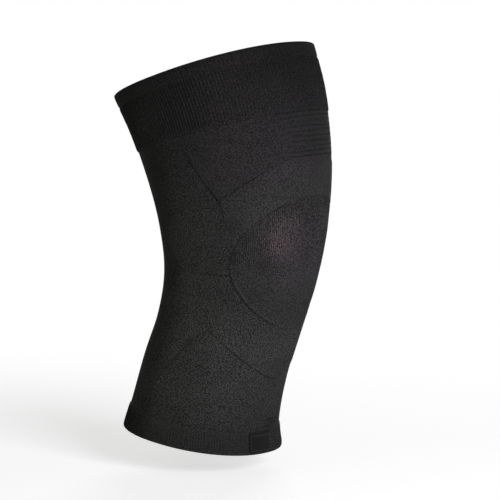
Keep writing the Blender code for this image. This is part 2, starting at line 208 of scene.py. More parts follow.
floor_finish, tree, paint = new_finish("floor_pale")
fill(tree, paint, {"Base Color": (FLOOR_GREY, FLOOR_GREY, FLOOR_GREY, 1), "Roughness": 0.9,
                   "Specular IOR Level": 0.1})
seen = seen_directly(tree)
spot = add_node(tree, "TexCoord", {}).outputs["Object"]
flat_spot = add_node(tree, "VectorMath", {0: spot, 1: (1, 1, 0)}, operation="MULTIPLY").outputs[0]
away = add_node(tree, "VectorMath", {0: flat_spot}, operation="LENGTH").outputs["Value"]
fade = add_node(tree, "MapRange", {"Value": away, "From Min": WHITE_FROM, "From Max": WHITE_BY},
                interpolation_type="SMOOTHSTEP")
far = calculate(tree, "MULTIPLY", fade.outputs["Result"], seen)
lifted = add_node(tree, "Emission", {"Strength": calculate(tree, "MULTIPLY", seen, FLOOR_GLOW)})
near = add_node(tree, "AddShader", {0: paint.outputs[0], 1: lifted.outputs[0]})
plain = add_node(tree, "Emission", {})
fill(tree, tree.nodes["Material Output"], {"Surface": choose(tree, far, near, plain)})
floor.data.materials.append(floor_finish)
print("floor at z in mm:", round(floor.data.vertices[0].co.z / MM, 1))

# %% [markdown]
# ## The worn form
# A sleeve has no shape of its own, so it is shown as worn. The solids follow nine rings from the hem
# to the rim, each with a height, a setback, half a depth and a tip, joined by a smooth curve. The same
# rings are repeated here. A place on the sleeve is then a height and an angle from the front, in
# degrees, positive towards the outer side. The arithmetic works on whole arrays of points at once, which
# is quick enough for panels with thousands of them.

# %% Rings of the worn form
THIGH_LENGTH, CALF_LENGTH = 152 * MM, 124 * MM
RIM_DEPTH, KNEE_DEPTH, CALF_DEPTH, HEM_DEPTH = 151 * MM, 113 * MM, 107 * MM, 118 * MM
RIM_SETBACK, HEM_SETBACK = 24.5 * MM, 35.5 * MM
# Each ring: its share of the length, of the end's setback and of the end's flare, and its tip in degrees
CALF_RINGS = ((1, 1, 1, -9), (0.85, 0.93, 0.36, -9), (0.56, 0.65, 0, -11), (0.28, 0.28, 0, -7))
THIGH_RINGS = ((0, 0, 0, -3), (0.26, -0.12, 0.29, 4), (0.53, 0.04, 0.605, 11), (0.79, 0.45, 0.84, 16.5),
               (1, 1, 1, 18))


def between(a, b, t):
    return a + (b - a) * t


def ring_rows(rings, length, setback, near_depth, end_depth):
    """Rows of height, setback, half depth and tip."""
    return [(length * share, setback * back, between(near_depth, end_depth, flare) / 2, math.radians(tip))
            for share, back, flare, tip in rings]


RINGS = np.array(ring_rows(CALF_RINGS, -CALF_LENGTH, HEM_SETBACK, CALF_DEPTH, HEM_DEPTH)
                 + ring_rows(THIGH_RINGS, THIGH_LENGTH, RIM_SETBACK, KNEE_DEPTH, RIM_DEPTH))
LOW = np.maximum(np.arange(len(RINGS)) - 1, 0)
HIGH = np.minimum(np.arange(len(RINGS)) + 1, len(RINGS) - 1)
SLOPES = (RINGS[HIGH] - RINGS[LOW]) / (RINGS[HIGH, :1] - RINGS[LOW, :1])
print("rings at heights in mm:", (RINGS[:, 0] / MM).round(1))

# %% The point at a height and angle
WIDTH_TO_DEPTH = 0.97
SQUARENESS = 2.2


def ring_at(height):
    """Setback, half depth and tip of the ring at each height, on a smooth curve through the rings."""
    height = np.asarray(height, float)
    k = np.clip(np.searchsorted(RINGS[:, 0], height) - 1, 0, len(RINGS) - 2)
    span = RINGS[k + 1, 0] - RINGS[k, 0]
    t = (height - RINGS[k, 0]) / span
    values = []
    for column in (1, 2, 3):
        value = RINGS[k, column] * (2 * t**3 - 3 * t**2 + 1)
        value += RINGS[k + 1, column] * (3 * t**2 - 2 * t**3)
        value += span * SLOPES[k, column] * (t**3 - 2 * t**2 + t)
        value += span * SLOPES[k + 1, column] * (t**3 - t**2)
        values.append(value)
    return values


def place(height, angle, lift):
    """Points of the worn form at heights and angles, lifted off its outer face."""
    setback, depth, tip = ring_at(height)
    width = depth * WIDTH_TO_DEPTH
    s, c = np.sin(np.radians(angle)), np.cos(np.radians(angle))
    reach = (np.abs(s) ** SQUARENESS + np.abs(c) ** SQUARENESS) ** (-1 / SQUARENESS)
    x, y = -reach * s * width, -reach * c * depth
    nx = np.sign(x) * np.abs(x / width) ** (SQUARENESS - 1) / width
    ny = np.sign(y) * np.abs(y / depth) ** (SQUARENESS - 1) / depth
    unit = np.hypot(nx, ny)
    x, y = x + nx / unit * lift, y + ny / unit * lift
    return np.stack([x, setback + y * np.cos(tip), height - y * np.sin(tip)], -1)


def arc(angle, height):
    """Length around the sleeve of an angle at a height."""
    return np.radians(angle) * ring_at(height)[1]


rim_front = place(THIGH_LENGTH, 0.0, 0.0)
print("front of the rim in mm:", (rim_front / MM).round(1), "top of the solid:", round(CAD_BOX[1].z / MM, 1))

# %% [markdown]
# ## Zone borders
# The knit changes its stitch along curved borders: firm bands frame the kneecap, two V-shaped panels
# and a cross-ribbed one cover the front of the thigh, and thinner cloth covers the kneecap and the
# hollow of the knee. Each border is a small formula, the same as on the solids, so neighbours meet
# along one line.

# %% Sizes of the zones
THIGH_CUFF_HEIGHT, CALF_CUFF_HEIGHT = 45 * MM, 17 * MM
PATELLA_UP, PATELLA_DOWN, PATELLA_ANGLE, PATELLA_POWER = 55 * MM, 32 * MM, 66, 1.7
UPPER_ARCH_WIDTH, UPPER_ARCH_END, UPPER_ARCH_POINT = 24.5 * MM, 24 * MM, 33 * MM
LOWER_ARCH_WIDTH, LOWER_ARCH_END, LOWER_ARCH_POINT = 34.3 * MM, 10.7 * MM, 23.5 * MM
FLEX_TOP_ANGLE, FLEX_LOW_ANGLE = 22, 17
QUAD_TOP_ANGLE, QUAD_TIP_ANGLE = 92, 72
SHIN_TIP_ANGLE, SHIN_LOW_ANGLE = 73, 118
BACK_ANGLE, NOTCH_ANGLE, NOTCH_REACH = 122, 106, 25 * MM
HOLLOW_UP, HOLLOW_DOWN, SIDE_SPLIT = 62 * MM, 62 * MM, 6 * MM
QUAD_REAR_BEND, ARCH_BEND, SHIN_SIDE_BEND, NOTCH_BEND = 1.5, 1.4, 0.72, 1.2

THIGH_RUN = THIGH_LENGTH - THIGH_CUFF_HEIGHT
CALF_RUN = CALF_LENGTH - CALF_CUFF_HEIGHT
PATELLA_MIDDLE = (PATELLA_UP - PATELLA_DOWN) / 2
PATELLA_HALF = (PATELLA_UP + PATELLA_DOWN) / 2
FLEX_LOW = PATELLA_UP + UPPER_ARCH_WIDTH
QUAD_TIP = UPPER_ARCH_END + UPPER_ARCH_POINT
SHIN_TOP = -PATELLA_DOWN - LOWER_ARCH_WIDTH
LOWER_END = -LOWER_ARCH_END
SHIN_TIP = LOWER_END - LOWER_ARCH_POINT
print("kneecap zone in mm:", round(2 * PATELLA_HALF / MM, 1), "high")


# %% Borders around the kneecap
def oval(out, side):
    """Reach of an oval of unit size, whose lower half has a straighter curve than its upper half."""
    power = np.where(np.asarray(side) > 0, 2, PATELLA_POWER)
    return np.maximum(0, 1 - np.abs(out) ** power) ** (1 / power)


def patella_angle(height):
    """Angle of the kneecap zone's border at a height."""
    out = (np.asarray(height) - PATELLA_MIDDLE) / PATELLA_HALF
    return PATELLA_ANGLE * oval(out, out)


def patella_edge(angle, side):
    """Height of the kneecap zone's border at an angle, above (1) or below (-1) its middle."""
    return PATELLA_MIDDLE + side * PATELLA_HALF * oval(np.asarray(angle) / PATELLA_ANGLE, side)


UPPER_LEAVES = float(patella_angle(UPPER_ARCH_END))
LOWER_LEAVES = float(patella_angle(LOWER_END))


def upper_arch_low(angle):
    a = np.abs(angle)
    run_on = between(UPPER_ARCH_END, QUAD_TIP, (a - UPPER_LEAVES) / (QUAD_TIP_ANGLE - UPPER_LEAVES))
    return np.where(a <= UPPER_LEAVES, patella_edge(a, 1), run_on)


def lower_arch_high(angle):
    a = np.abs(angle)
    run_on = between(LOWER_END, SHIN_TIP, (a - LOWER_LEAVES) / (SHIN_TIP_ANGLE - LOWER_LEAVES))
    return np.where(a <= LOWER_LEAVES, patella_edge(a, -1), run_on)


print("the bands leave the kneecap zone at", round(UPPER_LEAVES, 1), "and", round(LOWER_LEAVES, 1), "degrees")


# %% Borders of the thigh, the calf and the back
def ramp(value, start, reach):
    """0 up to the start, then evenly up to 1 over the reach."""
    return np.clip((value - start) / reach, 0, 1)


def quad_rear(height):
    t = ramp(-np.asarray(height), -THIGH_RUN, THIGH_RUN - QUAD_TIP)
    return between(QUAD_TOP_ANGLE, QUAD_TIP_ANGLE, t**QUAD_REAR_BEND)


def quad_low(angle):
    t = ramp(np.abs(angle), FLEX_LOW_ANGLE, QUAD_TIP_ANGLE - FLEX_LOW_ANGLE)
    return between(FLEX_LOW, QUAD_TIP, t**ARCH_BEND)


def flex_angle(height):
    t = (np.asarray(height) - FLEX_LOW) / (THIGH_RUN - FLEX_LOW)
    return between(FLEX_LOW_ANGLE, FLEX_TOP_ANGLE, t)


def shin_top(angle):
    return between(SHIN_TOP, SHIN_TIP, (np.abs(angle) / SHIN_TIP_ANGLE) ** ARCH_BEND)


def shin_side(height):
    t = ramp(-np.asarray(height), -SHIN_TIP, CALF_RUN + SHIN_TIP)
    return between(SHIN_TIP_ANGLE, SHIN_LOW_ANGLE, t**SHIN_SIDE_BEND)


def back_edge(height):
    near = np.clip(1 - np.abs(np.asarray(height) - SIDE_SPLIT) / NOTCH_REACH, 0, 1)
    return BACK_ANGLE - (BACK_ANGLE - NOTCH_ANGLE) * near**NOTCH_BEND


def side_front(height):
    """Front border of the upper side band."""
    t = (height - UPPER_ARCH_END) / (QUAD_TIP - UPPER_ARCH_END)
    run_on = between(UPPER_LEAVES, QUAD_TIP_ANGLE, t)
    return np.where(height <= UPPER_ARCH_END, patella_angle(height),
                    np.where(height < QUAD_TIP, run_on, quad_rear(height)))


def side_low_front(height):
    """Front border of the lower side band."""
    t = (height - LOWER_END) / (SHIN_TIP - LOWER_END)
    run_on = between(LOWER_LEAVES, SHIN_TIP_ANGLE, t)
    return np.where(height >= LOWER_END, patella_angle(height),
                    np.where(height > SHIN_TIP, run_on, shin_side(height)))


print("side bands at the knee, in degrees:", side_front(SIDE_SPLIT).round(1),
      "to", back_edge(SIDE_SPLIT).round(1))

# %% [markdown]
# ## Yarn and stitches
# Plain knit is rows of V-shaped stitches. The stitches are far too many to model, so they are drawn
# by the material, while every rib, ridge and border is real geometry. Each panel carries a UV map
# that counts stitches: 450 wales around the sleeve, and one course for each 0.7 mm along it, so the
# stitches run on from panel to panel and widen where the cloth is stretched. Charcoal yarn is spun
# from darker and lighter fibres, so each stitch has its own shade. The fibres are mixed evenly, so a
# light stitch mostly has darker ones beside it.

# %% The stitch pattern
STITCH_MAP = "stitches"
WALES_A_DEGREE, COURSE = 1.25, 0.7 * MM
STITCH_SLANT = 0.55
EVENNESS = 0.5


def stitch_counts(tree):
    """The UV map's output, and its two parts: wales counted around the sleeve and courses along it."""
    uv = add_node(tree, "UVMap", {}, uv_map=STITCH_MAP).outputs["UV"]
    split = add_node(tree, "SeparateXYZ", {0: uv})
    return uv, split.outputs["X"], split.outputs["Y"]


def mixed_evenly(tree, cell):
    """A random number for each stitch, lowered where the four stitches beside it have high ones."""
    mixed = EVENNESS / 2
    for step in ((0, 0, 0), (1, 0, 0), (-1, 0, 0), (0, 1, 0), (0, -1, 0)):
        beside = add_node(tree, "VectorMath", {0: cell, 1: step}).outputs[0]
        chance = add_node(tree, "TexWhiteNoise", {"Vector": beside}, noise_dimensions="2D").outputs["Value"]
        mixed = calculate(tree, "MULTIPLY_ADD", chance, -EVENNESS / 4 if any(step) else 1, mixed)
    return mixed


def stitches(tree):
    """The UV map, the height of the yarn in each V-shaped stitch, and a random number for each stitch."""
    uv, wale, course = stitch_counts(tree)
    across = calculate(tree, "ABSOLUTE", calculate(tree, "SUBTRACT", calculate(tree, "FRACT", wale), 0.5))
    across = calculate(tree, "MULTIPLY", across, 2)
    slanted = calculate(tree, "ADD", course, calculate(tree, "MULTIPLY", across, STITCH_SLANT))
    along = calculate(tree, "SINE", calculate(tree, "MULTIPLY", calculate(tree, "FRACT", slanted), math.pi))
    sideways = calculate(tree, "SINE", calculate(tree, "MULTIPLY", across, math.pi))
    yarn = calculate(tree, "SQRT", calculate(tree, "MULTIPLY", along, sideways))
    whole = {"X": calculate(tree, "FLOOR", wale), "Y": calculate(tree, "FLOOR", slanted)}
    cell = add_node(tree, "CombineXYZ", whole).outputs[0]
    return uv, yarn, mixed_evenly(tree, cell)


print("stitches around the sleeve:", round(360 * WALES_A_DEGREE))

# %% Colours and values that the knit reads
# Each cloud: its scale and its share of the lightness
CLOUDS, CLOUD_DETAIL = ((0.5, 0.1), (0.03, 0.16)), 2
STITCH_SHARE = 0.8
HEATHER_LOW, HEATHER_HIGH, FEWER_LIGHT = 0.13, 0.93, 1.4


def blend_colours(tree, share, first, second):
    """A Mix node between two colours, which are tuples or other nodes' outputs."""
    pair = [(*colour, 1) if isinstance(colour, (tuple, list)) else colour for colour in (first, second)]
    return add_node(tree, "Mix", {"Factor": share, 6: pair[0], 7: pair[1]}, data_type="RGBA").outputs[2]


def carried(tree, name):
    """The value that a panel's points carry under a name; 0 where a piece has none."""
    return add_node(tree, "Attribute", {}, attribute_name=name).outputs["Fac"]


def raised(tree, height, distance):
    """A normal that makes the surface look raised by a height."""
    return add_node(tree, "Bump", {"Distance": distance, "Height": height}).outputs["Normal"]


def heather(tree, uv, chance):
    """How light each stitch is, from its own chance and from soft clouds that lie in the cloth."""
    mixed = calculate(tree, "MULTIPLY", chance, STITCH_SHARE)
    for scale, share in CLOUDS:
        cloud = add_node(tree, "TexNoise", {"Scale": scale, "Detail": CLOUD_DETAIL, "Vector": uv},
                         noise_dimensions="2D")
        mixed = calculate(tree, "MULTIPLY_ADD", cloud.outputs["Fac"], share, mixed)
    fibre = add_node(tree, "MapRange", {"Value": mixed, "From Min": HEATHER_LOW, "From Max": HEATHER_HIGH})
    return calculate(tree, "POWER", fibre.outputs["Result"], FEWER_LIGHT)


# %% The knit finish
THIN_AND_HIGHLIGHT_ATTRIBUTE, BORDER_ATTRIBUTE = "stretched_thin_and_highlight", "border_shade"
LIGHT_ATTRIBUTE, WARM_ATTRIBUTE = "tone_and_painted_light", "warmth"
CHARCOAL = 0.0415
PLAIN_TINT, WARM_TINT = (1, 1, 0.96), (1.1, 1, 1.06)
DARK_FIBRE, LIGHT_FIBRE = -1, 1.4
# Painted shade in the valleys between stitches, and the share of the carried border shade
VALLEY_LEAST, VALLEY_RISE, BORDER_LOSS = 0.6, 0.5, 0.8
ROUGH_LEAST, ROUGH_RISE = 0.72, 0.2
YARN_RELIEF = 0.22 * MM


def knit_finish(name, level, variation=0.75, thin_and_highlight_colour=None):
    """Heathered knit: dark and light fibres by the stitch, painted shade in the valleys between stitches,
    fuzzy sheen.
    """
    finish, tree, shader = new_finish(name)
    uv, yarn, chance = stitches(tree)
    lighter = heather(tree, uv, chance)

    def heathered(colour):
        dark, light = ([c * (1 + change * variation) for c in colour] for change in (DARK_FIBRE, LIGHT_FIBRE))
        return blend_colours(tree, lighter, dark, light)

    shade = heathered([CHARCOAL * level] * 3)
    # Paler where the points carry stretched cloth and painted highlight
    if thin_and_highlight_colour:
        shade = blend_colours(tree, carried(tree, THIN_AND_HIGHLIGHT_ATTRIBUTE), shade, heathered(thin_and_highlight_colour))
    # Painted shade in the valleys between stitches and at borders, times the tone and painted light of each
    # place
    painted_shade_and_tone = calculate(tree, "ADD", calculate(tree, "MULTIPLY", yarn, VALLEY_RISE), VALLEY_LEAST)
    tight_and_shade = calculate(tree, "MULTIPLY_ADD", carried(tree, BORDER_ATTRIBUTE), -BORDER_LOSS, 1)
    for darker in (tight_and_shade, carried(tree, LIGHT_ATTRIBUTE)):
        painted_shade_and_tone = calculate(tree, "MULTIPLY", painted_shade_and_tone, darker)
    tint = blend_colours(tree, carried(tree, WARM_ATTRIBUTE), PLAIN_TINT, WARM_TINT)
    tinted = add_node(tree, "VectorMath", {0: shade, 1: tint}, operation="MULTIPLY").outputs[0]
    shaded = add_node(tree, "VectorMath", {0: tinted, "Scale": painted_shade_and_tone}, operation="SCALE").outputs[0]
    rough = calculate(tree, "ADD", calculate(tree, "MULTIPLY", chance, ROUGH_RISE), ROUGH_LEAST)
    fill(tree, shader, {
        "Base Color": shaded, "Roughness": rough, "Normal": raised(tree, yarn, YARN_RELIEF),
        "Specular IOR Level": 0.03, "Sheen Weight": 0.008, "Sheen Roughness": 0.5,
    })
    return finish


# %% One finish for each kind of knit
FINISHES = {
    "thigh_jersey": knit_finish("jersey_thigh", 0.98, variation=0.5),
    # The calf's second colour is the painted highlight on the loops beside the shin
    "calf_jersey": knit_finish("jersey_calf", 1.0, thin_and_highlight_colour=(0.12, 0.12, 0.12)),
    "upper_band": knit_finish("firm_band_upper", 1.14, variation=0.56),
    "lower_band": knit_finish("firm_band_lower", 1.03, variation=0.7),
    "upper_sides": knit_finish("firm_thigh_sides", 1.0, variation=0.7),
    "lower_sides": knit_finish("firm_calf_sides", 1.0),
    # The kneecap's second colour is its stretched crown, with painted highlight
    "kneecap": knit_finish("kneecap_stretched", 1.0, variation=0.62, thin_and_highlight_colour=(0.145, 0.12, 0.126)),
    "knee_hollow": knit_finish("knee_hollow_fine", 0.78),
    "thigh_rib": knit_finish("rib_black", 0.98, variation=0.5),
    "hem_rib": knit_finish("rib_hem", 1.02, variation=0.45),
}
print("knit finishes:", ", ".join(FINISHES))

# %% [markdown]
# ## From a flat blank to a worn panel
# A panel starts as a flat slab: a grid, thickened with Solidify. Each crossing of the grid belongs to
# one height and angle, and the slab is laid on the worn form there, its top face outside. Wrapping a
# blank gives the panel rows that end cleanly on its borders, which a shape cut out of a finished tube
# would not have. Near its border the panel rolls down into a fine groove, where one zone turns into the
# next.

# %% Grids with fine steps at their edges
CELL = 1.2 * MM
EDGE_STEPS = np.array([0, 0.3, 0.7, 1.2]) * MM


def graded(length, cell=CELL, stops=()):
    """Shares from 0 to 1 along a length: fine steps at both ends, even cells between, and any stops."""
    ends = EDGE_STEPS / length
    count = max(2, round((length - 2 * EDGE_STEPS[-1]) / cell))
    middle = np.linspace(ends[-1], 1 - ends[-1], count + 1)
    return np.unique(np.concatenate([ends, middle, 1 - ends, np.asarray(stops, float)]).round(7))


def levels(low, high, cell=CELL, stops=()):
    """Heights from low to high that also pass through the stops, where a border has a corner."""
    shares = [(stop - low) / (high - low) for stop in stops]
    return between(low, high, graded(abs(high - low), cell, shares))


def rows_grid(heights, left, right):
    """Level rows between two borders given as angles by height."""
    start, end = left(heights), right(heights)
    shares = graded(float(np.abs(arc(end - start, heights)).max()))
    angles = start[:, None] + (end - start)[:, None] * shares
    return np.broadcast_to(heights[:, None], angles.shape).copy(), angles


def columns_grid(angles, low, high, cell=CELL):
    """Upright columns between two borders given as heights by angle."""
    start, end = low(angles), high(angles)
    shares = graded(float(np.abs(end - start).max()), cell)
    heights = start + (end - start) * shares[:, None]
    return heights, np.broadcast_to(angles, heights.shape).copy()


def on_side(grid, side):
    """The grid as it is for the outer side (1), or mirrored for the inner side (-1)."""
    heights, angles = grid
    return (heights, angles) if side > 0 else (heights[:, ::-1], -angles[:, ::-1])


print("crossings along 100 mm:", len(graded(100 * MM)))

# %% How far each crossing lies from the panel's border
BORDER_STEP = 0.25 * MM
ALL_SIDES = "low high left right"


def from_border(points, sides=ALL_SIDES):
    """Distance of each point of a grid of places to those sides of the grid."""
    lines = {"low": points[0], "high": points[-1], "left": points[:, 0], "right": points[:, -1]}
    spots = []
    for side in sides.split():
        for start, end in zip(lines[side], lines[side][1:]):
            count = max(1, math.ceil(np.linalg.norm(end - start) / BORDER_STEP))
            spots += [start + (end - start) * k / count for k in range(count + 1)]
    tree = KDTree(len(spots))
    for k, spot in enumerate(spots):
        tree.insert(spot, k)
    tree.balance()
    distances = [tree.find(point)[2] for point in points.reshape(-1, 3)]
    return np.array(distances).reshape(points.shape[:2])


# %% Flat grids and slabs
SLAB_THICKNESS = 0.1


def pick(piece):
    """Selects one object alone and makes it the active one."""
    bpy.ops.object.select_all(action="DESELECT")
    piece.select_set(True)
    bpy.context.view_layer.objects.active = piece


def flat_grid(name, rows, columns):
    """A flat grid with that many crossings each way, two units wide and high."""
    bpy.ops.object.select_all(action="DESELECT")
    bpy.ops.mesh.primitive_grid_add(x_subdivisions=columns - 1, y_subdivisions=rows - 1, size=2)
    grid = bpy.context.active_object
    grid.name = grid.data.name = name
    return grid


def flat_slab(name, rows, columns):
    """A flat closed slab with a grid of crossings on both faces."""
    slab = flat_grid(name, rows, columns)
    thicken = slab.modifiers.new("thicken", "SOLIDIFY")
    thicken.thickness = SLAB_THICKNESS
    bpy.ops.object.modifier_apply(modifier=thicken.name)
    return slab


# %% Lay a slab on the worn form and finish it
SMOOTH_ANGLE = math.radians(50)


def points_of(piece):
    points = np.empty(len(piece.data.vertices) * 3)
    piece.data.vertices.foreach_get("co", points)
    return points.reshape(-1, 3)


def count_stitches(piece, wales, courses):
    """Writes the UV map that counts wales and courses, from values for each point of the mesh."""
    layer = piece.data.uv_layers.active
    layer.name = STITCH_MAP
    corners = np.empty(len(piece.data.loops), int)
    piece.data.loops.foreach_get("vertex_index", corners)
    layer.data.foreach_set("uv", np.stack([wales[corners], courses[corners]], -1).ravel())


def lay_on_form(piece, heights, angles, outer, inner):
    """Moves the slab's points to the worn form: outer and inner are the lifts of its two faces."""
    rows, columns = heights.shape
    x, y, z = points_of(piece).T
    i = np.rint((y + 1) / 2 * (rows - 1)).astype(int)
    j = np.rint((1 - x) / 2 * (columns - 1)).astype(int)
    lift = np.where(z < -SLAB_THICKNESS / 2, inner[i, j], outer[i, j])
    piece.data.vertices.foreach_set("co", place(heights[i, j], angles[i, j], lift).ravel())
    count_stitches(piece, angles[i, j] * WALES_A_DEGREE, heights[i, j] / COURSE)
    return i, j


def smooth(piece, material):
    pick(piece)
    bpy.ops.object.shade_smooth_by_angle(angle=SMOOTH_ANGLE)
    piece.data.materials.clear()
    piece.data.materials.append(material)
    piece.data.update()


# %% [markdown]
# ## Relief, tone and painted shade of the stretched cloth
# Stretched cloth takes the form of what it covers. Over the kneecap it stands up as a low crown on the
# outer upper part of the zone, with a shallow dimple beneath it, and everywhere the tension is uneven.
# Borders show clearly where the cloth is pulled across them and hardly at all where it is pulled along
# them, so a few named places, each with a reach, say how deep a border's groove rolls and how much
# shade is painted into it. The charcoal pales from the cuffs towards the knee and the calf, partly
# because stretched cloth opens between its stitches and partly as painted light and shade, and named
# places add painted shade in hollows, under the kneecap and towards the back, and painted light beside
# the crown. Its tone is a little warmer over the kneecap and up the thigh.

# %% Crown, dimple and uneven tension
CROWN = (28 * MM, 32, 12 * MM, 1.6 * MM)
DIMPLE = (13 * MM, 39, 9 * MM, -1.3 * MM)
HOLLOW_BESIDE = (24 * MM, 66, 20 * MM, 4 * MM, -0.8 * MM)
UNEVEN, UNEVEN_SIZE = 0.12 * MM, 22 * MM


def from_front(angles):
    """Degrees away from the front, on either side."""
    return np.abs(np.where(angles > 180, angles - 360, angles))


def swell(off, reach):
    """1 in the middle, fading smoothly to 0 with the distance from it."""
    return np.exp(-((off / reach) ** 2))


def patch(up, reach_up, sideways, reach_sideways):
    """1 at a place, fading smoothly with the distance upwards and sideways, each over its own reach."""
    return np.exp(-((up / reach_up) ** 2) - (sideways / reach_sideways) ** 2)


def mound(height, angle, middle_height, middle_angle, spread, rise):
    away = np.hypot(height - middle_height, arc(angle - middle_angle, height))
    return rise * swell(away, spread)


def waver(spots, shape):
    """Smooth noise at each of an array of points."""
    return np.array([noise.noise(spot) for spot in spots.reshape(-1, 3)]).reshape(shape)


def under_relief(heights, angles):
    """Lift that the knee gives to the cloth at each place."""
    lift = mound(heights, angles, *CROWN) + mound(heights, angles, *DIMPLE)
    middle, beside, long, wide, depth = HOLLOW_BESIDE
    lift += depth * patch(heights - middle, long, arc(from_front(angles) - beside, heights), wide)
    return lift + UNEVEN * waver(place(heights, angles, 0.0) / UNEVEN_SIZE, heights.shape)


crown_top = under_relief(np.array([CROWN[0]]), np.array([CROWN[1]]))
print("the crown lifts the cloth by", (crown_top / MM).round(2), "mm")

# %% Places where a border shows clearly
# Each place: height in mm, degrees from the front, reach up in mm, reach round in degrees, strength
FAINT = 0.09
CLEAR_PLACES = {
    "under the cuff": (107, 92, 4, 26, 0.3),
    "rear of the V, high": (84, 85, 13, 8, 0.9),
    "rear of the V, low": (64, 75, 11, 6, 0.9),
    "point of the V": (50, 71, 6, 5, 0.7),
    "foot of the V": (68, 53, 9, 13, 0.8),
    "foot of the cross ridges": (80, 0, 4, 20, 0.35),
    "over the kneecap": (48, 36, 7, 12, 1.0),
    "beside the kneecap, high": (30, 58, 9, 5, 0.6),
    "beside the kneecap": (10, 64, 14, 5, 0.6),
    "under its outer corner": (-4, 59, 8, 5, 0.5),
    "under the kneecap": (-14, 47, 9, 9, 0.6),
    "under its front": (-25, 30, 7, 12, 0.55),
    "over the shin, outside": (-51, 44, 10, 23, 0.62),
    "over the shin, in front": (-64, 0, 5, 20, 0.8),
    "beside the shin": (-58, 90, 20, 17, 0.55),
    "beside the knee": (6, 85, 4, 22, 0.3),
}


def at_place(heights, angles, height, angle, reach_up, reach_round):
    """How near each point is to a named place on both sides of the sleeve, from 0 to 1."""
    return patch(heights / MM - height, reach_up, from_front(angles) - angle, reach_round)


def clear(heights, angles):
    """How clearly a border shows at each place, from 0 to 1: how deep it rolls and how much shade is painted
    in it.
    """
    shown = np.full(np.shape(angles), FAINT)
    for *spot, strength in CLEAR_PLACES.values():
        shown = shown + strength * at_place(heights, angles, *spot)
    return np.minimum(shown, 1)


print("places with a clear border:", len(CLEAR_PLACES))

# %% Lightness of the cloth by height and by place, with painted light and shade
# Lightness by height in mm: paler where stretched, with painted shade towards the cuffs and on the top of the
# rim's fold
LIGHTNESS = {-124: 0.64, -116: 0.73, -100: 0.86, -84: 1.0, -44: 1.13, -20: 1.09, 0: 0.98, 44: 0.86, 76: 0.71,
             108: 0.57, 142: 0.44, 149: 0.44, 152: 0.25}
# Places with painted shade, each: height in mm, degrees from the front, reach up in mm, reach round in
# degrees, loss
PAINTED_SHADE_PLACES = {
    "beside the kneecap": (26, 69, 26, 10, 0.18),
    "over its outer corner": (40, 60, 8, 8, 0.22),
    "under the kneecap": (-12, 42, 15, 24, 0.24),
    "under its front": (-21, 8, 12, 20, 0.19),
    "front of the shin": (-72, 8, 18, 20, 0.1),
    "over the front of the hem": (-101, 18, 8, 18, 0.12),
    "foot of the V": (70, 62, 16, 13, 0.07),
    "behind the knee's side": (54, 116, 24, 14, 0.1),
    "behind the calf's side": (-50, 118, 16, 8, 0.16),
    "side under the cuff": (98, 102, 18, 20, 0.18),
    "front of the thigh": (104, 0, 46, 10, 0.12),
    "front of the cuff": (142, 10, 24, 30, 0.26),
}
# Places with painted light, each: height in mm, degrees from the front, reach up in mm, reach round in
# degrees, gain
PAINTED_LIGHT_PLACES = {
    "inside the kneecap's corner, high": (34, 48, 8, 6, 0.16),
    "inside the kneecap's corner, low": (23, 56, 7, 6, 0.14),
    "top of the kneecap": (41, 28, 5, 18, 0.15),
    "front of the kneecap": (28, 10, 20, 9, 0.1),
    "foot of the kneecap": (0, 20, 7, 12, 0.1),
    "rear of the cuff": (120, 118, 18, 20, 0.5),
    "side of the cuff": (124, 74, 12, 18, 0.12),
    "side of the hem": (-110, 92, 11, 24, 0.12),
}
TONE_CHANGES = [(*spot, -loss) for *spot, loss in PAINTED_SHADE_PLACES.values()]
TONE_CHANGES += [(*spot, gain) for *spot, gain in PAINTED_LIGHT_PLACES.values()]
# Painted shade on the sides towards the back, from these angles by height in mm
BEHIND_FROM = {-10: 99, 15: 117, 40: 113, 80: 103, 106: 103, 116: 150}
BEHIND_FADE, BACK_DARKER = 12, 0.3


def by_height(heights, levels_by_mm):
    """Values given at a few heights in mm, and evenly in between."""
    return np.interp(heights / MM, list(levels_by_mm), list(levels_by_mm.values()))


def tone_and_painted_light(heights, angles):
    """How light the cloth is: paler where it is stretched, around and under the knee, with painted shade and
    light.
    """
    behind = ramp(from_front(angles), by_height(heights, BEHIND_FROM), BEHIND_FADE)
    level = by_height(heights, LIGHTNESS) * (1 - BACK_DARKER * behind)
    for *spot, change in TONE_CHANGES:
        level = level * (1 + change * at_place(heights, angles, *spot))
    return level


print("lightness at the front, from the hem to the rim:",
      tone_and_painted_light(RINGS[:, 0], np.zeros(len(RINGS))).round(2))

# %% Warmth of the tone, and the rolled borders
THIGH_WARMTH, THIGH_WARM_FROM, THIGH_WARM_OVER = 0.7, 50 * MM, 20 * MM
SIDE_WARMTH, WARM_ROUND, WARM_FADE = 0.3, 110, 50
WARM_KNEE = (22, 10, 30, 38)
EDGE_ROUND, EDGE_DROP = 1.0 * MM, 0.4 * MM


def warmth(heights, angles):
    """How warm the tone of the cloth is: warmest over the kneecap and the front of the thigh."""
    towards_front = np.clip((WARM_ROUND - from_front(angles)) / WARM_FADE, SIDE_WARMTH, 1)
    thigh = ramp(heights, THIGH_WARM_FROM, THIGH_WARM_OVER) * towards_front
    return np.clip(np.maximum(THIGH_WARMTH * thigh, at_place(heights, angles, *WARM_KNEE)), 0, 1)


def rolled(edge):
    """How far a panel has rolled down at a distance from its border."""
    near = np.clip(1 - edge / EDGE_ROUND, 0, 1)
    return EDGE_DROP * (1 - np.sqrt(1 - near * near))


print("a panel's very edge rolls down by", round(float(rolled(0.0)) / MM, 2), "mm")

# %% [markdown]
# ## Handing a finished panel over
# A finished panel is baked in place, and the solid that it stands for is hidden. The greatest width,
# length and area of its grid of places are measured. Worn, the relaxed knit is stretched by about a
# sixth around and a twentieth along.


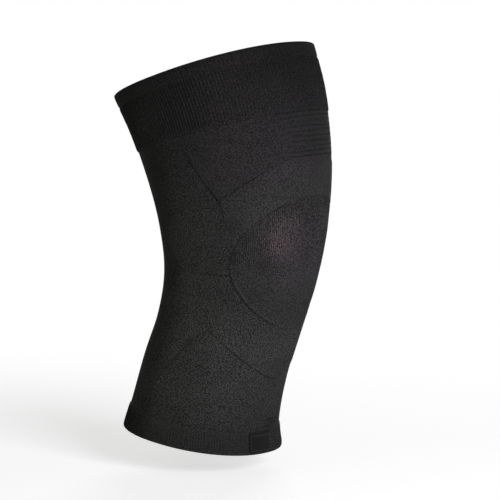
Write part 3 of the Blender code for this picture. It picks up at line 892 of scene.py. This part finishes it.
def hand_over(piece, node, slot, width, length, area):
    """Bakes a knit panel in place and hides its solid."""
    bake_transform(piece)
    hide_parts(node)
    box = points_of(piece).min(0), points_of(piece).max(0)


def grid_lengths(points):
    """Greatest width, greatest length and area of a grid of places."""
    width = float(np.linalg.norm(np.diff(points, axis=1), axis=-1).sum(1).max())
    length = float(np.linalg.norm(np.diff(points, axis=0), axis=-1).sum(0).max())
    a, b = points[1:, :-1] - points[:-1, :-1], points[:-1, 1:] - points[:-1, :-1]
    return width, length, float(np.linalg.norm(np.cross(a, b), axis=-1).sum())


# %% One worn panel
# Painted shade beside a border, whose stitches are also tighter
TIGHT_SHADE_WIDE, TIGHT_SHADE_SIZE, TIGHT_SHADE_MEAN, TIGHT_SHADE_WAVER = 1.0 * MM, 7 * MM, 0.85, 0.6
LEAST_ROLL = 0.3


def carry(piece, name, values):
    """Stores one value for each point of a piece."""
    layer = piece.data.attributes.new(name, "FLOAT", "POINT")
    layer.data.foreach_set("value", values.astype(np.float32))


def tight_and_shaded(points, heights, angles, edge):
    """Painted shade in the groove beside a border, whose stitches are also tighter, here more and there less.
    """
    near = np.clip(1 - edge / TIGHT_SHADE_WIDE, 0, 1)
    uneven = waver(points / TIGHT_SHADE_SIZE, edge.shape)
    return near * clear(heights, angles) * np.clip(TIGHT_SHADE_MEAN + TIGHT_SHADE_WAVER * uneven, 0, 1)


def knit_panel(name, node, grid, wall, finish, slot, lift=0.0, relief=None, thin_and_highlight=None, dark=None,
               sides=ALL_SIDES):
    """One worn panel: its slab, its relief and its stitches; its solid is hidden."""
    heights, angles = grid
    base = place(heights, angles, 0.0)
    edge = from_border(base, sides)
    under = under_relief(heights, angles)
    outer = lift + under - rolled(edge) * (LEAST_ROLL + (1 - LEAST_ROLL) * clear(heights, angles))
    if relief is not None:
        outer = outer + relief(heights, angles, edge)
    piece = flat_slab(name, *heights.shape)
    i, j = lay_on_form(piece, heights, angles, outer, under - wall)
    smooth(piece, FINISHES[finish])
    shade = tight_and_shaded(base, heights, angles, edge)
    if dark is not None:
        shade = np.maximum(shade, dark(heights, angles))
    carry(piece, BORDER_ATTRIBUTE, shade[i, j])
    carry(piece, LIGHT_ATTRIBUTE, tone_and_painted_light(heights, angles)[i, j])
    carry(piece, WARM_ATTRIBUTE, warmth(heights, angles)[i, j])
    if thin_and_highlight is not None:
        carry(piece, THIN_AND_HIGHLIGHT_ATTRIBUTE, thin_and_highlight(heights, angles, edge)[i, j])
    hand_over(piece, node, slot, *grid_lengths(base))


# %% [markdown]
# ## Front of the thigh
# Above the kneecap a small panel is knitted with cross ridges, so that it lengthens when the knee
# bends. Its ridges are broad, with narrow grooves between them. On each side a V-shaped panel of plain
# knit, in which the ridges run out, goes down to a point.

# %% Cross-ridged panel
FLEX_PITCH, FLEX_RIDGE, RIDGE_FLATNESS = 3.2 * MM, 1.0 * MM, 4
RIDGES_FULL, RIDGES_END, RIDGES_FADE = 15, 40, 1.2
RIDGE_ROWS, FADING_RIDGE_ROWS = 12, 6
KNIT_WALL, THIN_WALL, FIRM_LIFT = 2.0 * MM, 1.5 * MM, 0.4 * MM
FLEX_COUNT = round((THIGH_RUN - FLEX_LOW) / FLEX_PITCH)


def cross_ridges(heights, angles, edge):
    """Broad ridges across the front, which run out in the panels beside it."""
    turn = (heights - FLEX_LOW) / (THIGH_RUN - FLEX_LOW) * FLEX_COUNT
    from_middle = np.abs(turn - np.floor(turn) - 0.5) * 2
    left = np.clip((RIDGES_END - np.abs(angles)) / (RIDGES_END - RIDGES_FULL), 0, 1)
    return FLEX_RIDGE * (1 - from_middle**RIDGE_FLATNESS) * left**RIDGES_FADE * (heights > FLEX_LOW)


flex_heights = levels(FLEX_LOW, THIGH_RUN, cell=FLEX_PITCH / RIDGE_ROWS)
flex_grid = rows_grid(flex_heights, lambda h: -flex_angle(h), flex_angle)
knit_panel("front_flex_ridges", "front_flex_ribs", flex_grid, KNIT_WALL, "thigh_jersey", "body_knit",
           relief=cross_ridges, sides="low high")


# %% V-shaped panels, stretched between four borders
def quad_grid():
    """A patch between the cross ridges, the cuff, the side band and the band over the kneecap."""
    u = graded(float(arc(QUAD_TOP_ANGLE - FLEX_TOP_ANGLE, THIGH_RUN)))[None, :]
    v = graded(THIGH_RUN - QUAD_TIP, cell=FLEX_PITCH / FADING_RIDGE_ROWS)[:, None]
    low_a = between(FLEX_LOW_ANGLE, QUAD_TIP_ANGLE, u)
    high_a = between(FLEX_TOP_ANGLE, QUAD_TOP_ANGLE, u)
    front_h, rear_h = between(FLEX_LOW, THIGH_RUN, v), between(QUAD_TIP, THIGH_RUN, v)
    front_a = between(FLEX_LOW_ANGLE, FLEX_TOP_ANGLE, v)
    rear_a = between(QUAD_TIP_ANGLE, QUAD_TOP_ANGLE, v)
    angles = between(low_a, high_a, v) + between(flex_angle(front_h), quad_rear(rear_h), u)
    angles = angles - between(front_a, rear_a, u)
    return between(quad_low(low_a), THIGH_RUN, v), angles


for side, side_name, borders in ((1, "lateral", "low high right"), (-1, "medial", "low high left")):
    knit_panel("quad_knit_" + side_name, "quad_panel_" + side_name, on_side(quad_grid(), side), KNIT_WALL,
               "thigh_jersey", "body_knit", relief=cross_ridges, sides=borders)

# %% [markdown]
# ## Firm bands
# Denser knit frames the kneecap above and below and runs down both sides of the knee. It stands a
# little proud. The band over the kneecap has a second fine groove along its upper edge, where the
# knitting machine changes yarns.

# %% Bands over and under the kneecap
GROOVE_AT, GROOVE_WIDE, GROOVE_DEEP = 3.2 * MM, 0.6 * MM, 0.3 * MM
GROOVE_EDGE, GROOVE_SHADE = 1 * MM, 0.4
POINT_BLUNT, POINT_FINE = 0.06, 1
ARC_MEASURED_AT = 30 * MM


def mirrored(stops, point):
    """Angles on both sides of the front, up to a band's blunt points, in even steps through every stop."""
    stops = (*stops, point - POINT_FINE, point - POINT_BLUNT)
    ends = sorted({-angle for angle in stops} | set(stops))
    parts = []
    for low, high in zip(ends, ends[1:]):
        count = max(3, round(float(arc(high - low, ARC_MEASURED_AT)) / CELL))
        parts.append(np.linspace(low, high, count + 1))
    return np.unique(np.concatenate(parts).round(5))


def change_line(heights, angles):
    """1 along the second groove of the upper band, fading with the borders."""
    return clear(heights, angles) * swell(quad_low(angles) - heights - GROOVE_AT, GROOVE_WIDE)


upper_angles = mirrored((FLEX_LOW_ANGLE, UPPER_LEAVES), QUAD_TIP_ANGLE)
upper_grid = columns_grid(upper_angles, upper_arch_low, quad_low, cell=GROOVE_WIDE)
knit_panel("upper_kneecap_band", "upper_arch", upper_grid, KNIT_WALL, "upper_band", "firm_knit",
           lift=FIRM_LIFT, dark=lambda h, a: GROOVE_SHADE * change_line(h, a),
           relief=lambda h, a, edge: -GROOVE_DEEP * change_line(h, a) * ramp(edge, 0, GROOVE_EDGE))
lower_grid = columns_grid(mirrored((0, LOWER_LEAVES), SHIN_TIP_ANGLE), shin_top, lower_arch_high)
knit_panel("lower_kneecap_band", "lower_arch", lower_grid, KNIT_WALL, "lower_band", "firm_knit",
           lift=FIRM_LIFT)

# %% Bands down the sides, split at the knee axis
upper_levels = levels(SIDE_SPLIT, THIGH_RUN, stops=(UPPER_ARCH_END, QUAD_TIP))
lower_levels = levels(-CALF_RUN, SIDE_SPLIT, stops=(SHIN_TIP, LOWER_END))
side_grids = {
    "upper": rows_grid(upper_levels, side_front, back_edge),
    "lower": rows_grid(lower_levels, side_low_front, back_edge),
}
for side, side_name in ((1, "lateral"), (-1, "medial")):
    for part, side_grid in side_grids.items():
        knit_panel(f"{part}_side_band_{side_name}", f"{part}_side_panel_{side_name}",
                   on_side(side_grid, side), KNIT_WALL, part + "_sides", "firm_knit", lift=FIRM_LIFT)

# %% [markdown]
# ## Kneecap
# The oval over the kneecap is thin cloth with fine upright ribs, clearest in its upper half. Over the
# crown it is stretched thinnest and paler, with a painted highlight there and on the crests of the ribs.
# Its lower border stands up as a fine rolled bead, which carries a painted highlight too.

# %% Ribs and bead of the kneecap
RIB_TURN, KNEECAP_RIB, LEAST_RIB, RIB_EDGE = 1.45, 0.34 * MM, 0.2, 3 * MM
RIBS_FROM, RIBS_OVER = 2 * MM, 24 * MM
RIB_WAVER, RIB_WAVER_TURN, RIB_WAVER_LONG = 0.8, 0.9, 9 * MM
BEAD_AT, BEAD_WIDE, BEAD_HIGH = 1.7 * MM, 0.8 * MM, 0.45 * MM
BEAD_BELOW, BEAD_FADE = PATELLA_MIDDLE + 4 * MM, 12 * MM


def bead(heights, edge):
    """1 along the rolled bead inside the lower border, 0 elsewhere."""
    return ramp(-heights, -BEAD_BELOW, BEAD_FADE) * swell(edge - BEAD_AT, BEAD_WIDE)


def rib_wave(angles):
    """1 on the crests of the upright ribs and -1 in the valleys."""
    return np.cos(2 * np.pi * angles / RIB_TURN)


def kneecap_ribs(heights, angles, edge):
    shown = LEAST_RIB + (1 - LEAST_RIB) * ramp(heights, RIBS_FROM, RIBS_OVER)
    spots = np.stack([angles * RIB_WAVER_TURN, heights / RIB_WAVER_LONG, 0 * angles], -1)
    shown = shown * (1 + RIB_WAVER * waver(spots, angles.shape))
    return KNEECAP_RIB * shown * rib_wave(angles) * ramp(edge, 0, RIB_EDGE) + BEAD_HIGH * bead(heights, edge)


print("ribs across the kneecap zone:", round(2 * PATELLA_ANGLE / RIB_TURN))

# %% Tone of the kneecap, and its panel in upright columns
# The crown is paler as stretched cloth and as painted highlight; rib crests and the bead get painted
# highlight
CREST_MEAN, CREST_WAVE = 0.55, 0.45
THIN_AND_LIT_BROADLY, THINNEST_AND_LIT, BEAD_HIGHLIGHT = (32 * MM, 25, 16 * MM, 0.52), (27 * MM, 33, 8.5 * MM, 0.68), 0.14
VALLEY_SHADE, DIMPLE_SHADE = 0.3, (13 * MM, 39, 8 * MM, 0.22)
KNEECAP_COLUMNS, KNEECAP_CELL, KNEECAP_BLUNT = 700, 1.5 * MM, 0.03


def thin_crown_and_highlights(heights, angles, edge):
    """Paler cloth: stretched over the crown, with painted highlight there, on the crests of the ribs and on
    the bead.
    """
    over_crown = mound(heights, angles, *THIN_AND_LIT_BROADLY) + mound(heights, angles, *THINNEST_AND_LIT)
    crest = CREST_MEAN + CREST_WAVE * rib_wave(angles)
    return np.clip(over_crown * crest + BEAD_HIGHLIGHT * bead(heights, edge), 0, 1)


def shaded_knit(heights, angles):
    """Little light reaches the yarn between the ribs of the upper half, and the dimple under the crown."""
    valleys = VALLEY_SHADE * ramp(heights, RIBS_FROM, RIBS_OVER) * (0.5 - 0.5 * rib_wave(angles))
    return valleys + mound(heights, angles, *DIMPLE_SHADE)


turns = np.linspace(-1, 1, KNEECAP_COLUMNS) * (math.pi / 2 - KNEECAP_BLUNT)
kneecap_grid = columns_grid(PATELLA_ANGLE * np.sin(turns), lambda a: patella_edge(a, -1),
                            lambda a: patella_edge(a, 1), cell=KNEECAP_CELL)
knit_panel("kneecap_knit", "patella_panel", kneecap_grid, THIN_WALL, "kneecap", "kneecap_knit",
           relief=kneecap_ribs, thin_and_highlight=thin_crown_and_highlights, dark=shaded_knit)

# %% [markdown]
# ## Back and calf
# Behind the knee the cloth is finer, so that it can crease. Above and below it, plain knit covers the
# hamstrings and the calf, and one wide panel covers the shin. Beside the shin panel's slanting border
# a row of transferred loops stands up as small knots with a painted highlight, and over the label the
# cloth lies in three short creases with painted shade in them.


# %% Three panels behind
def far_edge(height):
    return 360 - back_edge(height)


for name, node, low, high, wall, finish in (
    ("hamstring_knit", "hamstring_panel", HOLLOW_UP, THIGH_RUN, KNIT_WALL, "thigh_jersey"),
    ("knee_hollow_knit", "popliteal_panel", -HOLLOW_DOWN, HOLLOW_UP, THIN_WALL, "knee_hollow"),
    ("calf_back_knit", "calf_back_panel", -CALF_RUN, -HOLLOW_DOWN, KNIT_WALL, "calf_jersey"),
):
    stops = [SIDE_SPLIT] if low < SIDE_SPLIT < high else []
    back_grid = rows_grid(levels(low, high, stops=stops), back_edge, far_edge)
    knit_panel(name, node, back_grid, wall, finish, "body_knit")

# %% Shin panel with its row of loops and its creases
LOOP_PITCH, LOOP_IN, LOOP_WIDE, LOOP_HIGH = 4.5 * MM, 1.5 * MM, 0.9 * MM, 0.4 * MM
LOOPS_MIDDLE, LOOPS_LONG = -80 * MM, 9 * MM
# Each crease: height in mm, and its middle and half length in degrees
CREASES = ((-99.5, -6, 9), (-102.3, -12, 8), (-104.6, -4, 7))
CREASE_WIDE, CREASE_DEEP, CREASE_SHADE = 0.9 * MM, 0.55 * MM, 0.9
SHIN_CELL = 0.9 * MM


def loops(heights, angles):
    """1 on the transferred loops beside the slanting border, 0 elsewhere; they fade along the row."""
    inward = arc(shin_side(heights) - np.abs(angles), heights)
    knots = np.clip(np.cos(2 * np.pi * heights / LOOP_PITCH), 0, 1) ** 2
    return swell(inward - LOOP_IN, LOOP_WIDE) * knots * swell(heights - LOOPS_MIDDLE, LOOPS_LONG)


def creases(heights, angles):
    """1 along short level folds over the label, where the hem is pulled up against the shin."""
    return sum(patch(heights - height * MM, CREASE_WIDE, angles - angle, reach)
               for height, angle, reach in CREASES)


u = 2 * graded(float(arc(2 * SHIN_LOW_ANGLE, -CALF_RUN)))[None, :] - 1
v = graded(CALF_RUN + SHIN_TIP, cell=SHIN_CELL)[:, None]
shin_angles = u * shin_side(between(-CALF_RUN, SHIN_TIP, v))
shin_heights = between(-CALF_RUN, shin_top(u * SHIN_TIP_ANGLE), v)
# The loops carry a painted highlight, and the creases painted shade
knit_panel("shin_knit", "shin_panel", (shin_heights, shin_angles), KNIT_WALL, "calf_jersey", "body_knit",
           relief=lambda h, a, edge: LOOP_HIGH * loops(h, a) - CREASE_DEEP * creases(h, a),
           thin_and_highlight=lambda h, a, edge: loops(h, a), dark=lambda h, a: CREASE_SHADE * creases(h, a))

# %% [markdown]
# ## Turned cuffs
# Both ends are turned welts: a ribbed outer layer folds over at its free edge and a lining runs back
# inside it to a linking seam. Each layer is made from one flat grid, rolled up in two ways: its rows
# follow the layer's profile, and around the sleeve it closes on itself. The ribs are real, 180 of them
# around, and a fine line shows where the thigh cuff's fold is held.

# %% Shade between the ribs and over the label
RIBS_AROUND, RIB_STEPS, RIB_HIGH = 180, 6, 0.25 * MM
RIB_SHADE, SIDE_RIB_SHADE, SIDE_RIBS = 0.25, 0.75, (58, 74)
LABEL_WIDTH, LABEL_HEIGHT, LABEL_ANGLE, GAP_OVER = 25.5 * MM, 13.5 * MM, 6, 0.9 * MM
label_middle = -CALF_LENGTH + CALF_CUFF_HEIGHT / 2
label_half = math.degrees(LABEL_WIDTH / float(ring_at(label_middle)[1])) / 2
label_top = label_middle + LABEL_HEIGHT / 2


def rib_shade(heights, angles):
    """Painted shade on the yarn between two ribs: most at the thigh's sides."""
    return np.interp(np.where(heights > 0, from_front(angles), 0), SIDE_RIBS, (RIB_SHADE, SIDE_RIB_SHADE))


def label_gap(heights, angles):
    """1 on the hem close over the label's loose upper edge, where little light gets in, else 0."""
    over = swell(heights - label_top - GAP_OVER / 2, GAP_OVER)
    return over * (np.abs((angles - LABEL_ANGLE + 180) % 360 - 180) < label_half)


print("the label reaches", round(label_half, 1), "degrees to each side of its middle")

# %% The ring that a profile makes
RIB_WEAR, RIB_WEAR_TURN, RIB_WEAR_LONG = 0.7, 0.8, 3 * MM
MERGE = 0.001 * MM


def face_outwards(piece):
    """Merges doubled points and turns every face outwards."""
    pick(piece)
    bpy.ops.object.mode_set(mode="EDIT")
    bpy.ops.mesh.select_all(action="SELECT")
    bpy.ops.mesh.remove_doubles(threshold=MERGE)
    bpy.ops.mesh.normals_make_consistent(inside=False)
    bpy.ops.object.mode_set(mode="OBJECT")


def ring_of_knit(name, profile, ribs, finish):
    """A closed ring around the sleeve: profile rows of (height, lift), ribs as lift for each row."""
    rows = len(profile)
    piece = flat_grid(name, rows, RIBS_AROUND * RIB_STEPS + 1)
    x, y, _ = points_of(piece).T
    i = np.rint((y + 1) / 2 * (rows - 1)).astype(int)
    heights, lifts = profile[i].T
    turn = (x + 1) / 2 * 360
    run = np.concatenate([[0], np.cumsum(np.linalg.norm(np.diff(profile, axis=0), axis=1))])
    wave = np.cos(np.radians(turn * RIBS_AROUND))
    worn = waver(np.stack([turn * RIB_WEAR_TURN, heights / RIB_WEAR_LONG, 0 * turn], -1), turn.shape)
    lifts = lifts + ribs[i] * wave * (1 + RIB_WEAR * worn)
    piece.data.vertices.foreach_set("co", place(heights, turn, lifts).ravel())
    count_stitches(piece, turn * WALES_A_DEGREE, run[i] / COURSE)
    carry(piece, LIGHT_ATTRIBUTE, tone_and_painted_light(heights, turn))
    carry(piece, WARM_ATTRIBUTE, warmth(heights, turn))
    valleys = rib_shade(heights, turn) * (0.5 - 0.5 * wave) * ribs[i] / RIB_HIGH
    carry(piece, BORDER_ATTRIBUTE, np.maximum(valleys, label_gap(heights, turn)))
    face_outwards(piece)
    smooth(piece, FINISHES[finish])
    return piece


# %% Profile of a welt's outer layer
CUFF_LAYER, CUFF_LIFT, CUFF_FOLD, GAP = 1.5 * MM, 0.6 * MM, 3.5 * MM, 0.3 * MM
FOLD_ROUND, FOLD_STEPS = 0.7 * MM, 6
EDGE_TURN, EDGE_CORNER = 0.6 * MM, 0.18 * MM
LINE_BELOW_RIM, LINE_WIDE, LINE_DEEP = 9 * MM, 0.8 * MM, 0.45 * MM
LINE_STEPS = (2, 1, 0.5, 0, -0.5, -1, -2)
RIBS_START, RIBS_STOP = 2 * MM, 0.5 * MM
PROFILE_STEP = 1.6 * MM


def walked(corners, step):
    """Points along a closed line of (height, lift) corners, no further apart than the step."""
    points = []
    for start, end in zip(corners, corners[1:] + corners[:1]):
        start, end = np.array(start), np.array(end)
        count = max(1, math.ceil(np.linalg.norm(end - start) / step))
        points += [between(start, end, k / count) for k in range(count)]
    return np.array(points + points[:1])


def arc_corners(middle, start, end):
    """Corners on the fold's round about a (height, lift) middle; angles run from the height's direction."""
    turns = np.linspace(math.radians(start), math.radians(end), FOLD_STEPS)
    return [(middle[0] + FOLD_ROUND * math.cos(t), middle[1] + FOLD_ROUND * math.sin(t)) for t in turns]


def outer_layer(edge, end, line):
    """Profile of the outer layer with its round fold, and how high the ribs stand on each row."""
    out = math.copysign(1, end - edge)
    face, core = CUFF_LIFT, CUFF_LIFT - CUFF_LAYER
    inside = core - GAP - CUFF_LAYER
    first, second = ((90, 0), (0, -90)) if out > 0 else ((90, 180), (180, 270))
    fold_at = end - out * FOLD_ROUND
    corners = [(edge, core), (edge, face - EDGE_TURN), (edge + out * EDGE_CORNER, face - EDGE_CORNER),
               (edge + out * EDGE_TURN, face)]
    if line:
        corners += [(end - out * (line + step * LINE_WIDE), face) for step in LINE_STEPS]
    corners += arc_corners((fold_at, face - FOLD_ROUND), *first)
    corners += arc_corners((fold_at, inside + FOLD_ROUND), *second)
    corners += [(end - out * CUFF_FOLD, inside), (end - out * CUFF_FOLD, core)]
    profile = walked(corners, PROFILE_STEP)
    from_edge, from_end = np.abs(profile[:, 0] - edge), np.abs(end - profile[:, 0])
    outside = profile[:, 1] > (face + core) / 2
    shown = ramp(from_edge, 0, RIBS_START) * ramp(from_end, RIBS_STOP, RIBS_START)
    return profile, np.where(outside, shown, 0), from_end, outside


print("rows along the thigh cuff's profile:", len(outer_layer(THIGH_RUN, THIGH_LENGTH, LINE_BELOW_RIM)[0]))

# %% Twisted thread
PLIES, PLY_TWIST, PLY_RELIEF, LIGHT_PLY = 900, 2, 0.08 * MM, 2.5


def thread_finish(name, colour):
    """Twisted thread: fine slanting plies over a dark core."""
    finish, tree, shader = new_finish(name)
    spot = add_node(tree, "TexCoord", {}).outputs["Object"]
    plies = add_node(tree, "TexWave", {"Scale": PLIES, "Distortion": PLY_TWIST, "Vector": spot},
                     bands_direction="DIAGONAL").outputs["Fac"]
    light = tuple(LIGHT_PLY * c for c in colour)
    fill(tree, shader, {
        "Base Color": blend_colours(tree, plies, colour, light), "Normal": raised(tree, plies, PLY_RELIEF),
        "Roughness": 0.7, "Specular IOR Level": 0.05, "Sheen Weight": 0.01,
    })
    return finish


FINISHES["thread"] = thread_finish("thread_black", (0.008, 0.008, 0.008))
print("finishes so far:", len(FINISHES))

# %% Linking thread of one cuff
THREAD_RADIUS, THREAD_LOOPS, LOOP_POINTS = 0.32 * MM, 240, 4
SEAM_FROM_EDGE, SEAM_SWING, SEAM_INSIDE, SEAM_WAVE = 0.75 * MM, 0.45 * MM, 0.45 * MM, 0.12 * MM


def fasten(piece, node, body):
    """Makes a piece ride on a body and stand for its solid."""
    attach(piece, body)
    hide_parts(node)


def linking_thread(name, node, edge, out, body):
    """One thread that zigzags round the inside of the seam."""
    k = np.arange(THREAD_LOOPS * LOOP_POINTS)
    swing = k * 2 * np.pi / LOOP_POINTS
    heights = edge - out * (SEAM_FROM_EDGE - SEAM_SWING * np.sin(swing))
    lifts = -KNIT_WALL - GAP - SEAM_INSIDE + SEAM_WAVE * np.cos(swing)
    spots = place(heights, k / len(k) * 360, lifts)
    curve = bpy.data.curves.new(name, "CURVE")
    curve.dimensions = "3D"
    curve.bevel_depth = THREAD_RADIUS
    curve.bevel_resolution = 1
    line = curve.splines.new("POLY")
    line.points.add(len(k) - 1)
    line.use_cyclic_u = True
    line.points.foreach_set("co", np.column_stack([spots, np.ones(len(k))]).ravel())
    thread = bpy.data.objects.new(name, curve)
    bpy.context.scene.collection.objects.link(thread)
    pick(thread)
    bpy.ops.object.convert(target="MESH")
    thread = bpy.context.active_object
    smooth(thread, FINISHES["thread"])
    fasten(thread, node, body)
    print(f"{thread.name}: {len(thread.data.polygons)} faces")


# %% Outer layer, lining and thread of both cuffs
LINE_FLATTENS, RIBS_OVER_LINE = 0.8, 0.5
LINING_ROUND, LINING_RIB = 0.4 * MM, 0.15 * MM
FLUSH = 0.01 * MM


def fit_cuff(piece, node, body):
    """Fastens a layer of a cuff; a welt is stretched around, but not along."""
    fasten(piece, node, body)


def make_cuff(name, edge, end, body, line, finish):
    """A welt in three pieces: outer layer, lining and linking thread."""
    out = math.copysign(1, end - edge)
    around = float(2 * math.pi * ring_at(between(edge, end, 0.5))[1])
    profile, shown, from_end, outside = outer_layer(edge, end, line)
    ribs = RIB_HIGH * shown
    if line:
        groove = swell(from_end - line, LINE_WIDE) * outside
        profile[:, 1] -= LINE_DEEP * groove
        ribs = ribs * (1 - LINE_FLATTENS * groove) * np.where(from_end < line, RIBS_OVER_LINE, 1)
    piece = ring_of_knit(name + "_rib_knit", profile, ribs, finish)
    fit_cuff(piece, name, body)

    core = CUFF_LIFT - CUFF_LAYER - GAP
    inside = core - CUFF_LAYER
    low, high = edge + out * GAP, end - out * (CUFF_FOLD + GAP)
    corners = [(low, core), (high, core), (high, inside + LINING_ROUND), (high - out * LINING_ROUND, inside),
               (low + out * LINING_ROUND, inside), (low, inside + LINING_ROUND)]
    profile = walked(corners, PROFILE_STEP)
    ribs = np.where(profile[:, 1] < inside + FLUSH, LINING_RIB, 0)
    piece = ring_of_knit(name + "_lining", profile, ribs, finish)
    fit_cuff(piece, name + "_facing", body)

    linking_thread(name + "_linking_thread", name + "_seam", edge, out, body)


make_cuff("thigh_cuff", THIGH_RUN, THIGH_LENGTH, "thigh", LINE_BELOW_RIM, "thigh_rib")
make_cuff("calf_cuff", -CALF_RUN, -CALF_LENGTH, "calf", 0, "hem_rib")

# %% [markdown]
# ## Label
# A small woven patch is sewn on the front of the hem. It is left bare. Satin weave is smoother than
# knit, so it gets its own finish, and its top edge stands a little off the hem, most in the middle.

# %% Satin weave
WEFTS, WARPS, WARP_SHARE = 2.2, 1.6, 0.35
WEAVE_MEAN, WEAVE_CONTRAST, WEAVE_RELIEF = 0.5, 0.3, 0.06 * MM


def satin_finish(name, dark, light):
    """Fine satin weave: weft lines across the patch, crossed by fainter warp lines."""
    finish, tree, shader = new_finish(name)
    _, wale, course = stitch_counts(tree)
    weft = calculate(tree, "SINE", calculate(tree, "MULTIPLY", course, 2 * math.pi * WEFTS))
    warp = calculate(tree, "SINE", calculate(tree, "MULTIPLY", wale, 2 * math.pi * WARPS))
    weave = calculate(tree, "MULTIPLY_ADD", warp, WARP_SHARE, weft)
    share = calculate(tree, "MULTIPLY_ADD", weave, WEAVE_CONTRAST, WEAVE_MEAN)
    fill(tree, shader, {
        "Base Color": blend_colours(tree, share, dark, light), "Normal": raised(tree, weave, WEAVE_RELIEF),
        "Roughness": 0.6, "Specular IOR Level": 0.05,
    })
    return finish


FINISHES["label_weave"] = satin_finish("label_satin", (0.004, 0.004, 0.004), (0.014, 0.014, 0.015))
print("weft lines on the label:", round(LABEL_HEIGHT / COURSE * WEFTS))

# %% Woven patch
LABEL_CELL, LABEL_STAND_OFF, LABEL_CLOTH = 0.6 * MM, 0.7 * MM, 0.45 * MM
LABEL_CURL, LABEL_ROLL = 3, 0.5


def label_lift(heights, angles):
    """Lift of the patch's underside: it hugs the hem and stands off along its top edge."""
    up = ramp(heights, label_middle, LABEL_HEIGHT / 2)
    across = np.clip(1 - ((angles - LABEL_ANGLE) / label_half) ** 2, 0, 1)
    return CUFF_LIFT + GAP + LABEL_STAND_OFF * up**LABEL_CURL * across


across = graded(LABEL_WIDTH, LABEL_CELL)[None, :]
up = graded(LABEL_HEIGHT, LABEL_CELL)[:, None]
label_angles = between(LABEL_ANGLE - label_half, LABEL_ANGLE + label_half, across) + 0 * up
label_heights = between(label_middle - LABEL_HEIGHT / 2, label_top, up) + 0 * across
label_under = label_lift(label_heights, label_angles)
label_edge = from_border(place(label_heights, label_angles, 0.0))
label_over = label_under + LABEL_CLOTH - LABEL_ROLL * rolled(label_edge)
label = flat_slab("hem_label", *label_heights.shape)
lay_on_form(label, label_heights, label_angles, label_over, label_under)
smooth(label, FINISHES["label_weave"])
fasten(label, "label", "calf")
print("label faces:", len(label.data.polygons))

# %% Route of the stitches that sew it on
STITCH_INSET, STITCH_LONG, STITCH_GAP = 1.4 * MM, 1.9 * MM, 0.7 * MM


def degrees_a_metre(height):
    """Angle around the sleeve that one metre covers at a height."""
    return math.degrees(1 / float(ring_at(height)[1]))


def label_route():
    """Places along a rectangle inside the patch's edge, one for the middle of each stitch."""
    wide, high = LABEL_WIDTH - 2 * STITCH_INSET, LABEL_HEIGHT - 2 * STITCH_INSET
    route = []
    for length, sideways in ((wide, True), (high, False)):
        count = round(length / (STITCH_LONG + STITCH_GAP))
        for k in range(count):
            along = ((k + 0.5) / count - 0.5) * length
            for side in (-1, 1):
                x, y = (along, side * high / 2) if sideways else (side * wide / 2, along)
                route.append((label_middle + y, LABEL_ANGLE + x * degrees_a_metre(label_middle), sideways))
    return route


print("stitches on the label:", len(label_route()))

# %% Stitches, copied along the route
STITCH_THICK, STITCH_SUNK = 0.55 * MM, 0.05 * MM

bpy.ops.object.select_all(action="DESELECT")
bpy.ops.mesh.primitive_uv_sphere_add(segments=10, ring_count=8, radius=1)
stitch = bpy.context.active_object
x, y, z = points_of(stitch).T
long_way, thick = x * STITCH_LONG / 2, STITCH_THICK / 2
copies = []
for height, angle, sideways in label_route():
    pick(stitch)
    bpy.ops.object.duplicate()
    copy = bpy.context.active_object
    dx, dy = (long_way, y * thick) if sideways else (y * thick, long_way)
    top = label_lift(height, angle) + LABEL_CLOTH - STITCH_SUNK
    spots = place(height + dy, angle + dx * degrees_a_metre(height), top + z * thick)
    copy.data.vertices.foreach_set("co", spots.ravel())
    copies.append(copy)
bpy.data.objects.remove(stitch, do_unlink=True)
pick(copies[0])
for copy in copies:
    copy.select_set(True)
bpy.ops.object.join()
label_stitches = bpy.context.active_object
label_stitches.name = label_stitches.data.name = "hem_label_stitches"
face_outwards(label_stitches)
smooth(label_stitches, thread_finish("thread_label", (0.03, 0.03, 0.03)))
fasten(label_stitches, "label_stitching", "calf")
print("faces of the stitches:", len(label_stitches.data.polygons))
